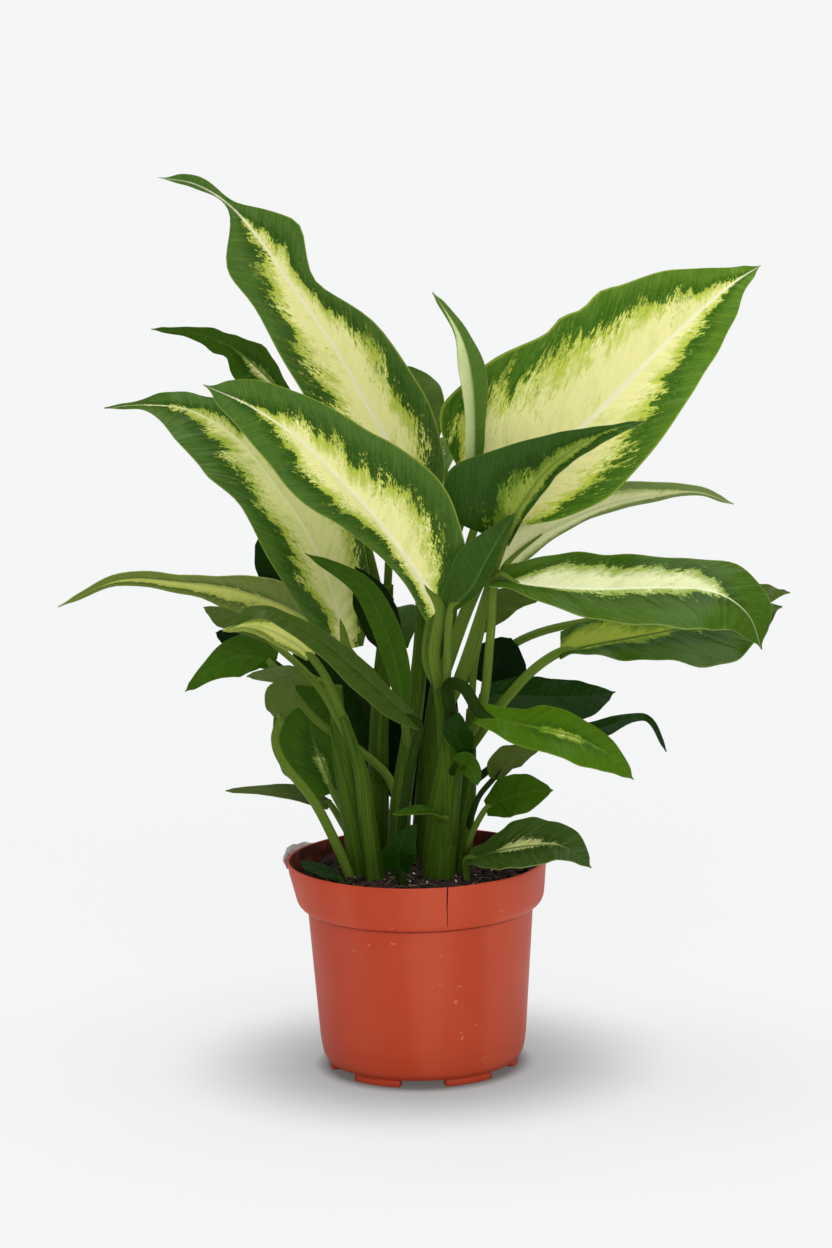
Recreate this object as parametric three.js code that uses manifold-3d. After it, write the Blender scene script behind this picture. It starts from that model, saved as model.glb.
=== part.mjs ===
// A dieffenbachia in a plastic nursery pot. Millimetres, +Z up.
// The pot's axis is the Z axis, its feet stand on z = 0, and the side with the split collar looks to -Y.
import * as THREE from 'three';
import { mergeVertices } from 'three/addons/utils/BufferGeometryUtils.js';
import Module from 'manifold-3d';

const wasm = await Module();
wasm.setup();

// ---- driving dimensions ----
const POT_HEIGHT = 100;
const RIM_RADIUS = 60;
const WALL = 1.2;
const COLLAR_HEIGHT = 22;
const BODY_TOP_RADIUS = 53.3;
const BODY_BASE_RADIUS = 48.6;
const FOOT_HEIGHT = 3.9;
const FOOT_COUNT = 6;
const FOOT_ANGLE = 32;
const FOOT_OUTER_RADIUS = 44.8;
const FOOT_INNER_RADIUS = 40.6;
const FIRST_FOOT_ANGLE = 29;
const DRAIN_COUNT = 6;
const DRAIN_RADIUS = 3;
const DRAIN_CIRCLE_RADIUS = 27;
const RIM_BULGE = 2.6;
const SPLIT_ANGLE = 12;
const SPLIT_WIDTH = 0.5;
const SOIL_LEVEL = 92;
const GAP = 0.3;
const BLADE_THICKNESS = 0.8;
const POT_SEGMENTS = 40;
const SOIL_SEGMENTS = 28;

const FLOOR_BOTTOM = FOOT_HEIGHT;
const FLOOR_TOP = FLOOR_BOTTOM + 1.6;
const SPLIT_BOTTOM = POT_HEIGHT - COLLAR_HEIGHT + 2;
const ROOT_DEPTH = SOIL_LEVEL - 22;

const radians = THREE.MathUtils.degToRad;

// ---- materials ----
const finish = (color, roughness) => new THREE.MeshStandardMaterial({ color, roughness, metalness: 0 });
const terracottaPlastic = finish(0xb8462d, 0.5);
const peat = finish(0x23160f, 0.95);
const stemGreen = finish(0x5f7a36, 0.5);
const variegatedGreen = finish(0xa9bb55, 0.42);
const darkGreen = finish(0x2f5421, 0.42);
const clearFilm = finish(0xe8e6e0, 0.3);

// ---- solids ----
function toSolid(geometry) {
  const bare = geometry.clone();
  bare.deleteAttribute('normal');
  bare.deleteAttribute('uv');
  const welded = mergeVertices(bare, 1e-4);
  return new wasm.Manifold(new wasm.Mesh({
    numProp: 3,
    vertProperties: new Float32Array(welded.attributes.position.array),
    triVerts: new Uint32Array(welded.index.array),
  }));
}

function toGeometry(solid) {
  const mesh = solid.getMesh();
  const geometry = new THREE.BufferGeometry();
  geometry.setAttribute('position', new THREE.BufferAttribute(mesh.vertProperties, 3));
  geometry.setIndex(new THREE.BufferAttribute(mesh.triVerts, 1));
  geometry.computeVertexNormals();
  return geometry;
}

function largestPiece(solid) {
  const pieces = solid.decompose();
  return pieces.reduce((best, piece) => (piece.volume() > best.volume() ? piece : best));
}

function fromTriangles(points, triangles) {
  const geometry = new THREE.BufferGeometry();
  const coordinates = points.flatMap((p) => p.toArray());
  geometry.setAttribute('position', new THREE.Float32BufferAttribute(coordinates, 3));
  geometry.setIndex(triangles.flat());
  return geometry;
}

// ---- curves ----
// A smooth curve through rows of numbers: places, or places with widths or radii behind them.
function along(rows, t) {
  const spans = rows.length - 1;
  const scaled = THREE.MathUtils.clamp(t, 0, 1) * spans;
  const i = Math.min(Math.floor(scaled), spans - 1);
  const f = scaled - i;
  return rows[i].map((p1, k) => {
    const p2 = rows[i + 1][k];
    const p0 = i > 0 ? rows[i - 1][k] : 2 * p1 - p2;
    const p3 = i < spans - 1 ? rows[i + 2][k] : 2 * p2 - p1;
    const cubic = 3 * p1 - p0 - 3 * p2 + p3;
    const square = 2 * p0 - 5 * p1 + 4 * p2 - p3;
    return 0.5 * (2 * p1 + (p2 - p0) * f + square * f * f + cubic * f * f * f);
  });
}

const place = (row) => new THREE.Vector3(row[0], row[1], row[2]);

function direction(rows, t) {
  const step = 0.01;
  const ahead = place(along(rows, Math.min(t + step, 1)));
  return ahead.sub(place(along(rows, Math.max(t - step, 0)))).normalize();
}

// ---- round stems and leaf stalks ----
// rows: [x, y, z, radius]. grow widens the tube, for the clearance round it.
function tube(rows, sides, rings, grow = 0) {
  const points = [];
  const triangles = [];
  for (let r = 0; r <= rings; r += 1) {
    const t = r / rings;
    const row = along(rows, t);
    const tangent = direction(rows, t);
    const across = new THREE.Vector3(0, 1, 0).cross(tangent).normalize();
    const up = tangent.clone().cross(across);
    for (let s = 0; s < sides; s += 1) {
      const angle = (2 * Math.PI * s) / sides;
      const radius = row[3] + grow;
      const offset = across.clone().multiplyScalar(Math.cos(angle) * radius);
      offset.addScaledVector(up, Math.sin(angle) * radius);
      points.push(place(row).add(offset));
    }
  }
  for (let r = 0; r < rings; r += 1) {
    for (let s = 0; s < sides; s += 1) {
      const a = r * sides + s;
      const b = r * sides + ((s + 1) % sides);
      triangles.push([a, b, b + sides], [a, b + sides, a + sides]);
    }
  }
  const last = rings * sides;
  for (let s = 1; s < sides - 1; s += 1) {
    triangles.push([0, s + 1, s], [last, last + s, last + s + 1]);
  }
  return toSolid(fromTriangles(points, triangles));
}

// ---- pot ----
// The collar is pressed out of round at its left, most at the lip.
function pressOutOfRound(geometry) {
  const position = geometry.attributes.position;
  for (let i = 0; i < position.count; i += 1) {
    const x = position.getX(i);
    const y = position.getY(i);
    const toLeft = Math.max(0, -x) / Math.max(Math.hypot(x, y), 1);
    const height = THREE.MathUtils.smoothstep(position.getZ(i), SPLIT_BOTTOM, POT_HEIGHT);
    position.setX(i, x - RIM_BULGE * height * toLeft ** 4);
  }
  return geometry;
}

const turned = (profile, segments) => {
  const points = profile.map(([radius, z]) => new THREE.Vector2(radius, z));
  return new THREE.LatheGeometry(points, segments).rotateX(Math.PI / 2);
};

// The inside of the wall, from the middle of the floor to the lip.
const potInside = [
  [0, FLOOR_TOP],
  [44.2, FLOOR_TOP],
  [46.4, 9],
  [BODY_BASE_RADIUS - WALL, 14],
  [BODY_TOP_RADIUS - WALL, 77.5],
  [56.9, 84.5],
  [RIM_RADIUS - WALL, POT_HEIGHT],
];

const potOutside = [
  [RIM_RADIUS - 0.4, POT_HEIGHT],
  [RIM_RADIUS, POT_HEIGHT - 0.8],
  [58.7, 84],
  [57.9, 80.6],
  [56.2, 78.4],
  [BODY_TOP_RADIUS + 0.3, POT_HEIGHT - COLLAR_HEIGHT - 1],
  [BODY_TOP_RADIUS - 0.2, 74],
  [BODY_BASE_RADIUS, 12],
  [BODY_BASE_RADIUS - 1.2, 7.4],
  [45.6, FLOOR_BOTTOM],
  [0, FLOOR_BOTTOM],
];

function footRing() {
  const shape = new THREE.Shape();
  const half = radians(FOOT_ANGLE / 2);
  shape.absarc(0, 0, FOOT_OUTER_RADIUS, -half, half, false);
  shape.absarc(0, 0, FOOT_INNER_RADIUS, half, -half, true);
  const upward = { depth: FLOOR_TOP - 0.5, bevelEnabled: false, curveSegments: 4 };
  const foot = new THREE.ExtrudeGeometry(shape, upward);
  const solids = [];
  for (let i = 0; i < FOOT_COUNT; i += 1) {
    const angle = radians(FIRST_FOOT_ANGLE - 90 + (360 / FOOT_COUNT) * i);
    solids.push(toSolid(foot.clone().rotateZ(angle)));
  }
  return solids;
}

function drainHoles() {
  const solids = [];
  for (let i = 0; i < DRAIN_COUNT; i += 1) {
    const angle = radians((360 / DRAIN_COUNT) * i);
    const hole = new THREE.CylinderGeometry(DRAIN_RADIUS, DRAIN_RADIUS, 10, 10).rotateX(Math.PI / 2);
    const x = DRAIN_CIRCLE_RADIUS * Math.cos(angle);
    const y = DRAIN_CIRCLE_RADIUS * Math.sin(angle);
    hole.translate(x, y, FLOOR_BOTTOM);
    solids.push(toSolid(hole));
  }
  return solids;
}

// The collar has split from the lip down at one place.
function collarSplit() {
  const depth = 12;
  const height = POT_HEIGHT - SPLIT_BOTTOM + 4;
  const slot = new THREE.BoxGeometry(SPLIT_WIDTH, depth, height);
  slot.translate(0, -RIM_RADIUS + 2, SPLIT_BOTTOM + height / 2);
  slot.rotateZ(radians(SPLIT_ANGLE));
  return toSolid(slot);
}

function makePot() {
  const profile = [...potInside, ...potOutside].reverse();
  const wall = pressOutOfRound(turned(profile, POT_SEGMENTS));
  let pot = toSolid(wall);
  footRing().forEach((foot) => { pot = pot.add(foot); });
  drainHoles().forEach((hole) => { pot = pot.subtract(hole); });
  return pot.subtract(collarSplit());
}

// ---- soil ----
function makeSoil(holes) {
  const clearance = GAP + 0.1;
  const wallAt = (index) => [potInside[index][0] - clearance, potInside[index][1]];
  const profile = [
    [0, FLOOR_TOP + clearance],
    [potInside[1][0] - clearance, FLOOR_TOP + clearance],
    wallAt(2),
    wallAt(3),
    wallAt(4),
    wallAt(5),
    [RIM_RADIUS - 3.2, SOIL_LEVEL - 1],
    [46, SOIL_LEVEL],
    [26, SOIL_LEVEL],
    [0, SOIL_LEVEL],
  ];
  const geometry = turned(profile, SOIL_SEGMENTS);
  const position = geometry.attributes.position;
  for (let i = 0; i < position.count; i += 1) {
    const x = position.getX(i);
    const y = position.getY(i);
    const radius = Math.hypot(x, y);
    if (position.getZ(i) > SOIL_LEVEL - 0.5 && radius > 10 && radius < 52) {
      const lump = 0.9 * Math.sin(0.21 * x + 1) * Math.cos(0.27 * y) + 0.5 * Math.sin(0.5 * x - 0.43 * y);
      position.setZ(i, SOIL_LEVEL + lump);
    }
  }
  let soil = toSolid(geometry);
  holes.forEach((hole) => { soil = soil.subtract(hole); });
  return soil;
}

// ---- stems ----
// Each shoot's stem, from its foot in the soil up: [x, y, z, radius].
const stems = {
  stem_main: [[9, -3, ROOT_DEPTH, 7.6], [9, -4, 93, 8], [12, -6, 125, 7.4], [15, -8, 150, 6.4],
    [14, -10, 172, 5], [10, -14, 192, 3.2]],
  stem_right: [[19, 8, ROOT_DEPTH, 4.2], [20, 8, 93, 4.4], [22, 9, 112, 4], [24, 11, 130, 3.6],
    [25, 12, 150, 3], [26, 14, 168, 2.2]],
  stem_left: [[-26, 0, ROOT_DEPTH, 5.2], [-28, 0, 93, 5.4], [-31, 0, 120, 5], [-35, 2, 148, 4.4],
    [-37, 6, 168, 3.6], [-37, 10, 182, 2.6]],
  stem_left_pale: [[-20, -11, ROOT_DEPTH, 4.2], [-21, -11, 93, 4.4], [-24, -11, 120, 4],
    [-26, -12, 142, 3.6], [-30, -13, 158, 2.8], [-34, -14, 172, 2.2]],
  stem_middle: [[-10, 12, ROOT_DEPTH, 5.2], [-10, 12, 93, 5.4], [-8, 13, 125, 5], [-3, 14, 155, 4.4],
    [2, 16, 190, 3.6], [4, 18, 220, 2.6]],
  stem_rear_right: [[2, 30, ROOT_DEPTH, 5.8], [2, 30, 93, 6], [5, 31, 130, 5.6], [11, 33, 170, 4.8],
    [17, 34, 210, 3.6], [18, 32, 236, 2.6]],
  stem_rear_left: [[-20, 30, ROOT_DEPTH, 5.2], [-20, 30, 93, 5.4], [-19, 31, 130, 5], [-17, 33, 170, 4.2],
    [-14, 34, 200, 3.4], [-12, 34, 225, 2.6]],
};
const STEM_SIDES = 8;
const STEM_RINGS = 7;

const stemSolid = (name, grow = 0) => tube(stems[name], STEM_SIDES, STEM_RINGS, grow);

// The point on a stem's axis at a given height.
function stemPoint(name, height) {
  let low = 0;
  let high = 1;
  for (let i = 0; i < 24; i += 1) {
    const middle = (low + high) / 2;
    if (along(stems[name], middle)[2] < height) {
      low = middle;
    } else {
      high = middle;
    }
  }
  return along(stems[name], low).slice(0, 3);
}

// ---- leaves ----
// rib: rows [x, y, z, width on one side, width on the other side], from the leaf's base to its tip.
// The first width is on the side that lies to the right of a walk from base to tip, as seen from
// above the upper side. face: where the upper side looks. fold: how far each half rises, in degrees.
// stem and at: the stem that carries the stalk, and the height where it leaves it; a leaf with no
// stem has its stalk's foot in the soil. via: places that the stalk passes.
// stalk: the stalk's radius at its foot and at the blade. wave: height of the edge's waves.
const leaves = [
  {
    name: 'leaf_top_left', stem: 'stem_middle', at: 216, via: [[4, 18, 240]], stalk: [3, 2.4],
    face: [-0.35, -1, 0.25], fold: [16, 20], wave: 1.4, color: variegatedGreen,
    rib: [[6, 14, 267, 9, 7], [-2, 12, 283, 22, 17], [-17, 10, 310, 30, 22], [-33, 8, 341, 25, 23],
      [-51, 6, 369, 14, 21], [-66, 6, 392, 18, 20], [-80, 8, 409, 3, 2], [-96, 14, 419, 4, 2],
      [-114, 22, 422, 1, 1]],
  },
  {
    name: 'leaf_far_left', stem: 'stem_rear_left', at: 207,
    via: [[-25, 38, 255], [-44, 46, 292]], stalk: [2.2, 1.6],
    face: [-0.2, -1, -0.2], fold: [10, 10], wave: 1.4, color: darkGreen,
    rib: [[-57, 52, 311, 4, 5], [-69, 58, 324, 9, 12], [-84, 64, 336, 8, 8], [-102, 72, 342, 3, 3],
      [-123, 82, 343, 1, 1]],
  },
  {
    name: 'leaf_front_centre', stem: 'stem_main', at: 181, via: [[9, -23, 202]], stalk: [3, 2.6],
    face: [-0.1, -1, 0.5], fold: [14, 18], wave: 1.4, color: variegatedGreen,
    rib: [[12, -28, 225, 10, 9], [0, -40, 247, 27, 8], [-15, -55, 271, 34, 13], [-31, -68, 292, 27, 19],
      [-49, -79, 313, 20, 20], [-70, -88, 330, 13, 12], [-91, -92, 341, 1, 1]],
  },
  {
    name: 'leaf_left', stem: 'stem_rear_left', at: 178, via: [[-26, 28, 188]], stalk: [2.8, 2.2],
    face: [-0.1, -1, 0.7], fold: [12, 14], wave: 1.6, color: variegatedGreen,
    rib: [[-32, 24, 196, 8, 8], [-37, 28, 218, 18, 17], [-47, 34, 246, 23, 23], [-64, 42, 272, 23, 22],
      [-82, 50, 294, 15, 23], [-104, 58, 307, 12, 17], [-126, 66, 309, 3, 3], [-146, 72, 307, 1, 1]],
  },
  {
    name: 'leaf_top_right', stem: 'stem_main', at: 186, via: [[27, -6, 225]], stalk: [3.2, 2.6],
    face: [0.25, -1, 0.35], fold: [14, 12], wave: 1.8, color: variegatedGreen,
    rib: [[47, -8, 265, 9, 26], [59, -10, 281, 24, 58], [74, -10, 299, 32, 54], [96, -6, 320, 30, 42],
      [116, 0, 339, 25, 38], [135, 8, 355, 18, 24], [152, 18, 367, 7, 9], [166, 28, 374, 1, 1]],
  },
  {
    name: 'leaf_young', stem: 'stem_main', at: 180,
    via: [[5, -8, 197], [9, -10, 222], [20, -17, 254]], stalk: [2, 1.6],
    face: [0.5, -1, 0], fold: [45, 45], wave: 0.4, color: variegatedGreen,
    rib: [[29, -23, 286, 3, 4], [30, -26, 307, 5, 14], [29, -26, 332, 7, 11], [24, -24, 352, 4, 3],
      [12, -20, 371, 1, 1]],
  },
  {
    name: 'leaf_centre', stem: 'stem_main', at: 173, via: [[24, -15, 200], [36, -28, 238]],
    stalk: [2.2, 1.8],
    face: [-0.1, -1, 0.5], fold: [10, 20], wave: 1.2, color: darkGreen,
    rib: [[42, -33, 256, 3, 29], [49, -40, 273, 5, 36], [60, -49, 290, 6, 20], [73, -57, 302, 5, 10],
      [88, -62, 311, 4, 3], [106, -64, 316, 1, 1]],
  },
  {
    name: 'leaf_centre_sheath', stem: 'stem_main', at: 165, via: [[15, -26, 200]], stalk: [2, 1.6],
    face: [-0.3, -1, 0.3], fold: [25, 25], wave: 0.6, color: darkGreen,
    rib: [[17, -32, 225, 2, 2], [27, -41, 237, 5, 8], [33, -44, 249, 6, 9], [40, -45, 261, 3, 5],
      [47, -45, 272, 1, 1]],
  },
  {
    name: 'leaf_right_pale', stem: 'stem_main', at: 172, via: [[26, 2, 195], [33, 12, 216]],
    stalk: [2.6, 2],
    face: [-0.1, 1, 0.45], fold: [10, 10], wave: 1, color: variegatedGreen,
    rib: [[41, 20, 231, 4, 4], [51, 28, 243, 14, 9], [72, 36, 253, 12, 7], [94, 44, 260, 10, 5],
      [118, 50, 263, 7, 4], [137, 54, 263, 3, 2], [154, 58, 256, 1, 1]],
  },
  {
    name: 'leaf_right', stem: 'stem_main', at: 148, via: [[30, -14, 172], [35, -34, 212]],
    stalk: [2.4, 1.8],
    face: [0.1, -0.75, 1], fold: [6, 10], wave: 1.6, color: variegatedGreen,
    rib: [[38, -42, 242, 7, 7], [57, -54, 240, 10, 20], [84, -66, 240, 19, 18], [111, -76, 242, 28, 18],
      [135, -84, 241, 25, 18], [150, -88, 231, 14, 14], [156, -90, 215, 1, 1]],
  },
  {
    name: 'leaf_right_under', stem: 'stem_right', at: 150, via: [[38, 1, 170], [54, 0, 188]],
    stalk: [2.6, 2],
    face: [0.1, -0.7, 1], fold: [6, 6], wave: 2, color: variegatedGreen,
    rib: [[68, 2, 197, 4, 12], [86, -4, 202, 8, 19], [109, -10, 207, 18, 16], [132, -14, 212, 28, 14],
      [153, -16, 217, 22, 11], [171, -16, 220, 2, 2]],
  },
  {
    name: 'leaf_right_behind', stem: 'stem_rear_right', at: 168,
    via: [[50, 36, 196], [85, 32, 206]], stalk: [2.2, 1.6],
    face: [0, -0.5, 1], fold: [8, 8], wave: 1.2, color: darkGreen,
    rib: [[112, 26, 211, 5, 5], [137, 25, 216, 15, 11], [160, 21, 218, 13, 9], [177, 15, 221, 1, 1]],
  },
  {
    name: 'leaf_small_right', stem: 'stem_right', at: 166, via: [[28, 16, 188]], stalk: [1.8, 1.4],
    face: [0, -1, 0.4], fold: [6, 6], wave: 0.8, color: darkGreen,
    rib: [[32, 24, 204, 2, 3], [40, 26, 212, 5, 10], [49, 28, 217, 4, 7], [60, 30, 217, 1, 1]],
  },
  {
    name: 'leaf_front_right', stem: 'stem_main', at: 154,
    via: [[16, -20, 172], [15, -27, 188], [22, -34, 189]], stalk: [3, 2.6],
    face: [-0.1, -0.9, 0.8], fold: [10, 12], wave: 1.2, color: darkGreen,
    rib: [[30, -38, 177, 6, 5], [45, -50, 175, 10, 8], [60, -62, 174, 13, 11], [76, -72, 171, 13, 9],
      [89, -80, 164, 8, 5], [98, -84, 155, 1, 1]],
  },
  {
    name: 'leaf_dark_right', stem: 'stem_right', at: 154, via: [[30, 12, 166]], stalk: [2, 1.6],
    face: [0, -0.8, 0.8], fold: [10, 10], wave: 0.8, color: darkGreen,
    rib: [[32, 14, 175, 6, 5], [46, 16, 174, 14, 9], [63, 20, 172, 16, 10], [80, 24, 171, 12, 8],
      [95, 28, 172, 1, 1]],
  },
  {
    name: 'leaf_round', stem: 'stem_right', at: 146, via: [[29, 21, 164]], stalk: [1.8, 1.4],
    face: [0, -1, 0.2], fold: [8, 8], wave: 0.5, color: darkGreen,
    rib: [[34, 27, 177, 6, 6], [37, 29, 183, 14, 12], [41, 31, 190, 14, 11], [46, 33, 198, 3, 3]],
  },
  {
    name: 'leaf_hooked', stem: 'stem_right', at: 132, via: [[44, 20, 144]], stalk: [2, 1.5],
    face: [0, -0.6, 0.8], fold: [10, 10], wave: 0.5, color: darkGreen,
    rib: [[64, 26, 152, 4, 3], [85, 30, 153, 6, 5], [102, 36, 157, 3, 3], [112, 40, 155, 2, 2],
      [120, 46, 138, 1, 1]],
  },
  {
    name: 'leaf_small_low', stem: 'stem_right', at: 106, via: [[25, 5, 118], [29, 5, 128]],
    stalk: [1.6, 1.2],
    face: [-0.2, 0.9, 0.5], fold: [8, 8], wave: 0.6, color: darkGreen,
    rib: [[36, 6, 136, 3, 3], [41, 4, 143, 9, 6], [49, 4, 148, 7, 6], [59, 6, 152, 1, 1]],
  },
  {
    name: 'leaf_small_bright', stem: 'stem_right', at: 98, via: [[23, -2, 106], [27, -4, 116]],
    stalk: [1.6, 1.3],
    face: [-0.1, -0.9, 0.6], fold: [10, 10], wave: 0.5, color: darkGreen,
    rib: [[32, -4, 124, 4, 4], [41, -10, 130, 10, 10], [51, -16, 134, 10, 9], [63, -20, 136, 1, 1]],
  },
  {
    name: 'leaf_lowest', via: [[22, -12, 76], [22, -12, 92]], stalk: [1.8, 1.5],
    face: [0, -0.8, 1], fold: [8, 8], wave: 0.8, color: darkGreen,
    rib: [[22, -14, 102, 4, 5], [35, -28, 109, 11, 14], [51, -42, 115, 17, 16], [67, -54, 117, 9, 10],
      [79, -62, 109, 1, 1]],
  },
  {
    name: 'leaf_twisted_upper', stem: 'stem_main', at: 146, via: [], stalk: [1.8, 1.4],
    face: [-0.2, -1, 0.2], fold: [15, 15], wave: 0.5, color: darkGreen,
    rib: [[23, -18, 152, 3, 2], [20, -24, 160, 7, 4], [18, -29, 168, 8, 6], [20, -31, 176, 1, 1]],
  },
  {
    name: 'leaf_twisted_lower', stem: 'stem_main', at: 138, via: [], stalk: [1.6, 1.2],
    face: [0.2, -1, 0.3], fold: [20, 20], wave: 0.5, color: darkGreen,
    rib: [[18, -19, 148, 3, 3], [22, -24, 150, 5, 6], [26, -28, 147, 4, 4], [28, -29, 141, 1, 1]],
  },
  {
    name: 'leaf_thin', stem: 'stem_main', at: 116, via: [], stalk: [1.6, 1.2],
    face: [0, -0.3, 1], fold: [5, 5], wave: 0.2, color: darkGreen,
    rib: [[13, -17, 123, 2, 2], [6, -22, 128, 4, 4], [-2, -25, 129, 4, 4], [-12, -27, 128, 1, 1]],
  },
  {
    name: 'leaf_soil_dark', via: [[-8, -25, 78], [-8, -25, 92]], stalk: [1.8, 1.5],
    face: [-0.3, -1, 0], fold: [12, 12], wave: 0.4, color: darkGreen,
    rib: [[-8, -24, 98, 3, 4], [-10, -26, 106, 9, 8], [-8, -28, 115, 8, 4], [-1, -28, 123, 1, 1]],
  },
  {
    name: 'leaf_at_rim', via: [[-36, -20, 80], [-36, -20, 91]], stalk: [1.4, 1.2],
    face: [0, -0.5, 1], fold: [8, 8], wave: 0.3, color: darkGreen,
    rib: [[-38, -17, 95, 2, 2], [-45, -9, 96, 4, 4], [-51, 0, 97, 4, 4], [-56, 8, 98, 1, 1]],
  },
  {
    name: 'leaf_long_left', stem: 'stem_rear_left', at: 168, via: [[-30, 40, 190]], stalk: [2.4, 1.8],
    face: [0, -0.8, -0.4], fold: [8, 8], wave: 1, color: darkGreen,
    rib: [[-42, 44, 200, 11, 6], [-61, 54, 211, 15, 11], [-85, 64, 218, 10, 12], [-112, 72, 221, 5, 7],
      [-142, 76, 222, 4, 3], [-172, 78, 209, 1, 1]],
  },
  {
    name: 'leaf_strap_left',
    via: [[-9, -16, 76], [-9, -16, 94], [-8, -17, 118], [-5, -20, 140], [-1, -25, 158]],
    stalk: [2.4, 2],
    face: [0.2, -0.8, 0.8], fold: [14, 14], wave: 0.8, color: darkGreen,
    rib: [[1, -29, 171, 3, 4], [-10, -38, 183, 4, 10], [-25, -48, 200, 6, 14], [-42, -56, 217, 4, 9],
      [-58, -62, 228, 4, 6], [-71, -66, 234, 2, 5], [-87, -68, 226, 1, 1]],
  },
  {
    name: 'leaf_yellow_left', stem: 'stem_left_pale', at: 170, via: [[-41, -16, 190]], stalk: [2, 1.8],
    face: [0, -0.9, -0.3], fold: [8, 8], wave: 0.5, color: variegatedGreen,
    rib: [[-48, -20, 202, 3, 3], [-56, -26, 210, 7, 5], [-67, -30, 217, 8, 5], [-77, -34, 220, 5, 3],
      [-88, -36, 218, 1, 1]],
  },
  {
    name: 'leaf_dark_left', stem: 'stem_middle', at: 116,
    via: [[-13, 12, 135], [-26, 11, 149], [-48, 11, 166]],
    stalk: [2.2, 1.8],
    face: [-0.1, -1, 0.3], fold: [12, 12], wave: 1, color: darkGreen,
    rib: [[-67, 10, 192, 4, 3], [-73, 10, 196, 12, 6], [-85, 8, 197, 9, 10], [-97, 4, 192, 4, 6],
      [-108, -2, 183, 1, 1]],
  },
  {
    name: 'leaf_behind_left', stem: 'stem_rear_left', at: 138, via: [[-46, 44, 168]], stalk: [1.8, 1.4],
    face: [0, -1, 0.3], fold: [5, 5], wave: 0.5, color: darkGreen,
    rib: [[-73, 48, 190, 3, 3], [-80, 48, 195, 6, 5], [-88, 48, 198, 5, 5], [-95, 48, 201, 1, 1]],
  },
  {
    name: 'leaf_small_left', stem: 'stem_left_pale', at: 156, via: [[-46, -8, 186]], stalk: [1.8, 1.4],
    face: [0, -0.8, -0.5], fold: [5, 5], wave: 0.5, color: darkGreen,
    rib: [[-67, -2, 206, 2, 2], [-81, -6, 216, 5, 6], [-89, -8, 220, 5, 7], [-98, -8, 224, 1, 1]],
  },
  {
    name: 'leaf_edge_left', stem: 'stem_left', at: 174, via: [], stalk: [1.8, 1.4],
    face: [0, -0.6, 0.9], fold: [5, 5], wave: 0.4, color: darkGreen,
    rib: [[-44, 8, 184, 3, 3], [-54, 2, 188, 6, 6], [-65, 0, 190, 5, 6], [-79, -2, 190, 1, 1]],
  },
  {
    name: 'leaf_outer_left',
    via: [[-33, -9, 76], [-33, -9, 93], [-47, -12, 128], [-62, -15, 150],
      [-66, -16, 162]], stalk: [2.6, 1.8],
    face: [0.3, 0.8, 0.3], fold: [10, 10], wave: 0.6, color: darkGreen,
    rib: [[-63, -16, 172, 3, 2], [-64, -20, 178, 7, 7], [-62, -24, 186, 7, 10], [-57, -26, 193, 1, 1]],
  },
  {
    name: 'leaf_oval_left', stem: 'stem_left', at: 114, via: [], stalk: [2, 1.6],
    face: [-0.3, -1, 0.3], fold: [10, 10], wave: 0.6, color: darkGreen,
    rib: [[-40, 11, 130, 5, 8], [-45, 18, 143, 12, 18], [-50, 21, 157, 12, 19], [-49, 21, 171, 11, 15],
      [-42, 19, 183, 2, 2]],
  },
  {
    name: 'leaf_pointed_left', stem: 'stem_left', at: 104, via: [[-36, 12, 114]], stalk: [1.8, 1.4],
    face: [0, -0.5, 1], fold: [5, 5], wave: 0.3, color: darkGreen,
    rib: [[-42, 24, 121, 3, 4], [-58, 28, 125, 7, 4], [-74, 31, 127, 4, 3], [-92, 33, 127, 1, 1]],
  },
  {
    name: 'leaf_strap_centre', stem: 'stem_middle', at: 148, via: [[-5, 4, 160]], stalk: [2, 1.8],
    face: [-0.3, -1, 0.1], fold: [18, 18], wave: 0.6, color: darkGreen,
    rib: [[-6, -4, 171, 3, 3], [-8, -6, 190, 7, 5], [-14, -8, 213, 8, 6], [-25, -10, 234, 5, 5],
      [-50, -10, 249, 1, 1]],
  },
  {
    name: 'leaf_shade_left', stem: 'stem_rear_left', at: 152, via: [[-34, 52, 186]], stalk: [1.8, 1.4],
    face: [0, -1, 0.3], fold: [5, 5], wave: 0.6, color: darkGreen,
    rib: [[-54, 64, 211, 4, 4], [-60, 67, 222, 10, 10], [-67, 69, 232, 10, 10], [-74, 71, 243, 2, 2]],
  },
  {
    name: 'leaf_shade_centre', stem: 'stem_middle', at: 178, via: [], stalk: [1.8, 1.4],
    face: [0, 1, 0.3], fold: [6, 6], wave: 0.8, color: darkGreen,
    rib: [[-10, 20, 194, 4, 4], [-15, 19, 207, 9, 9], [-20, 17, 222, 9, 9], [-27, 15, 238, 1, 1]],
  },
  {
    name: 'leaf_shade_top', stem: 'stem_rear_right', at: 224, via: [[20, 43, 262]], stalk: [2, 1.6],
    face: [0, -1, 0.2], fold: [5, 5], wave: 0.8, color: darkGreen,
    rib: [[10, 46, 292, 4, 4], [9, 48, 305, 8, 10], [5, 48, 316, 9, 9], [-2, 48, 328, 1, 1]],
  },
  {
    name: 'leaf_rear_high', stem: 'stem_rear_right', at: 233, via: [[6, 32, 250]], stalk: [2.2, 1.8],
    face: [0, -0.2, 1], fold: [14, 14], wave: 1, color: variegatedGreen,
    rib: [[0, 38, 262, 8, 8], [-2, 60, 278, 24, 24], [-4, 86, 284, 20, 20], [-6, 106, 272, 1, 1]],
  },
  {
    name: 'leaf_rear_right', stem: 'stem_rear_right', at: 212, via: [[26, 36, 240]], stalk: [2.2, 1.8],
    face: [0.1, -0.2, 1], fold: [14, 14], wave: 1, color: variegatedGreen,
    rib: [[32, 40, 256, 8, 8], [45, 60, 270, 20, 20], [60, 84, 276, 17, 17], [76, 104, 269, 1, 1]],
  },
  {
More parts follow.
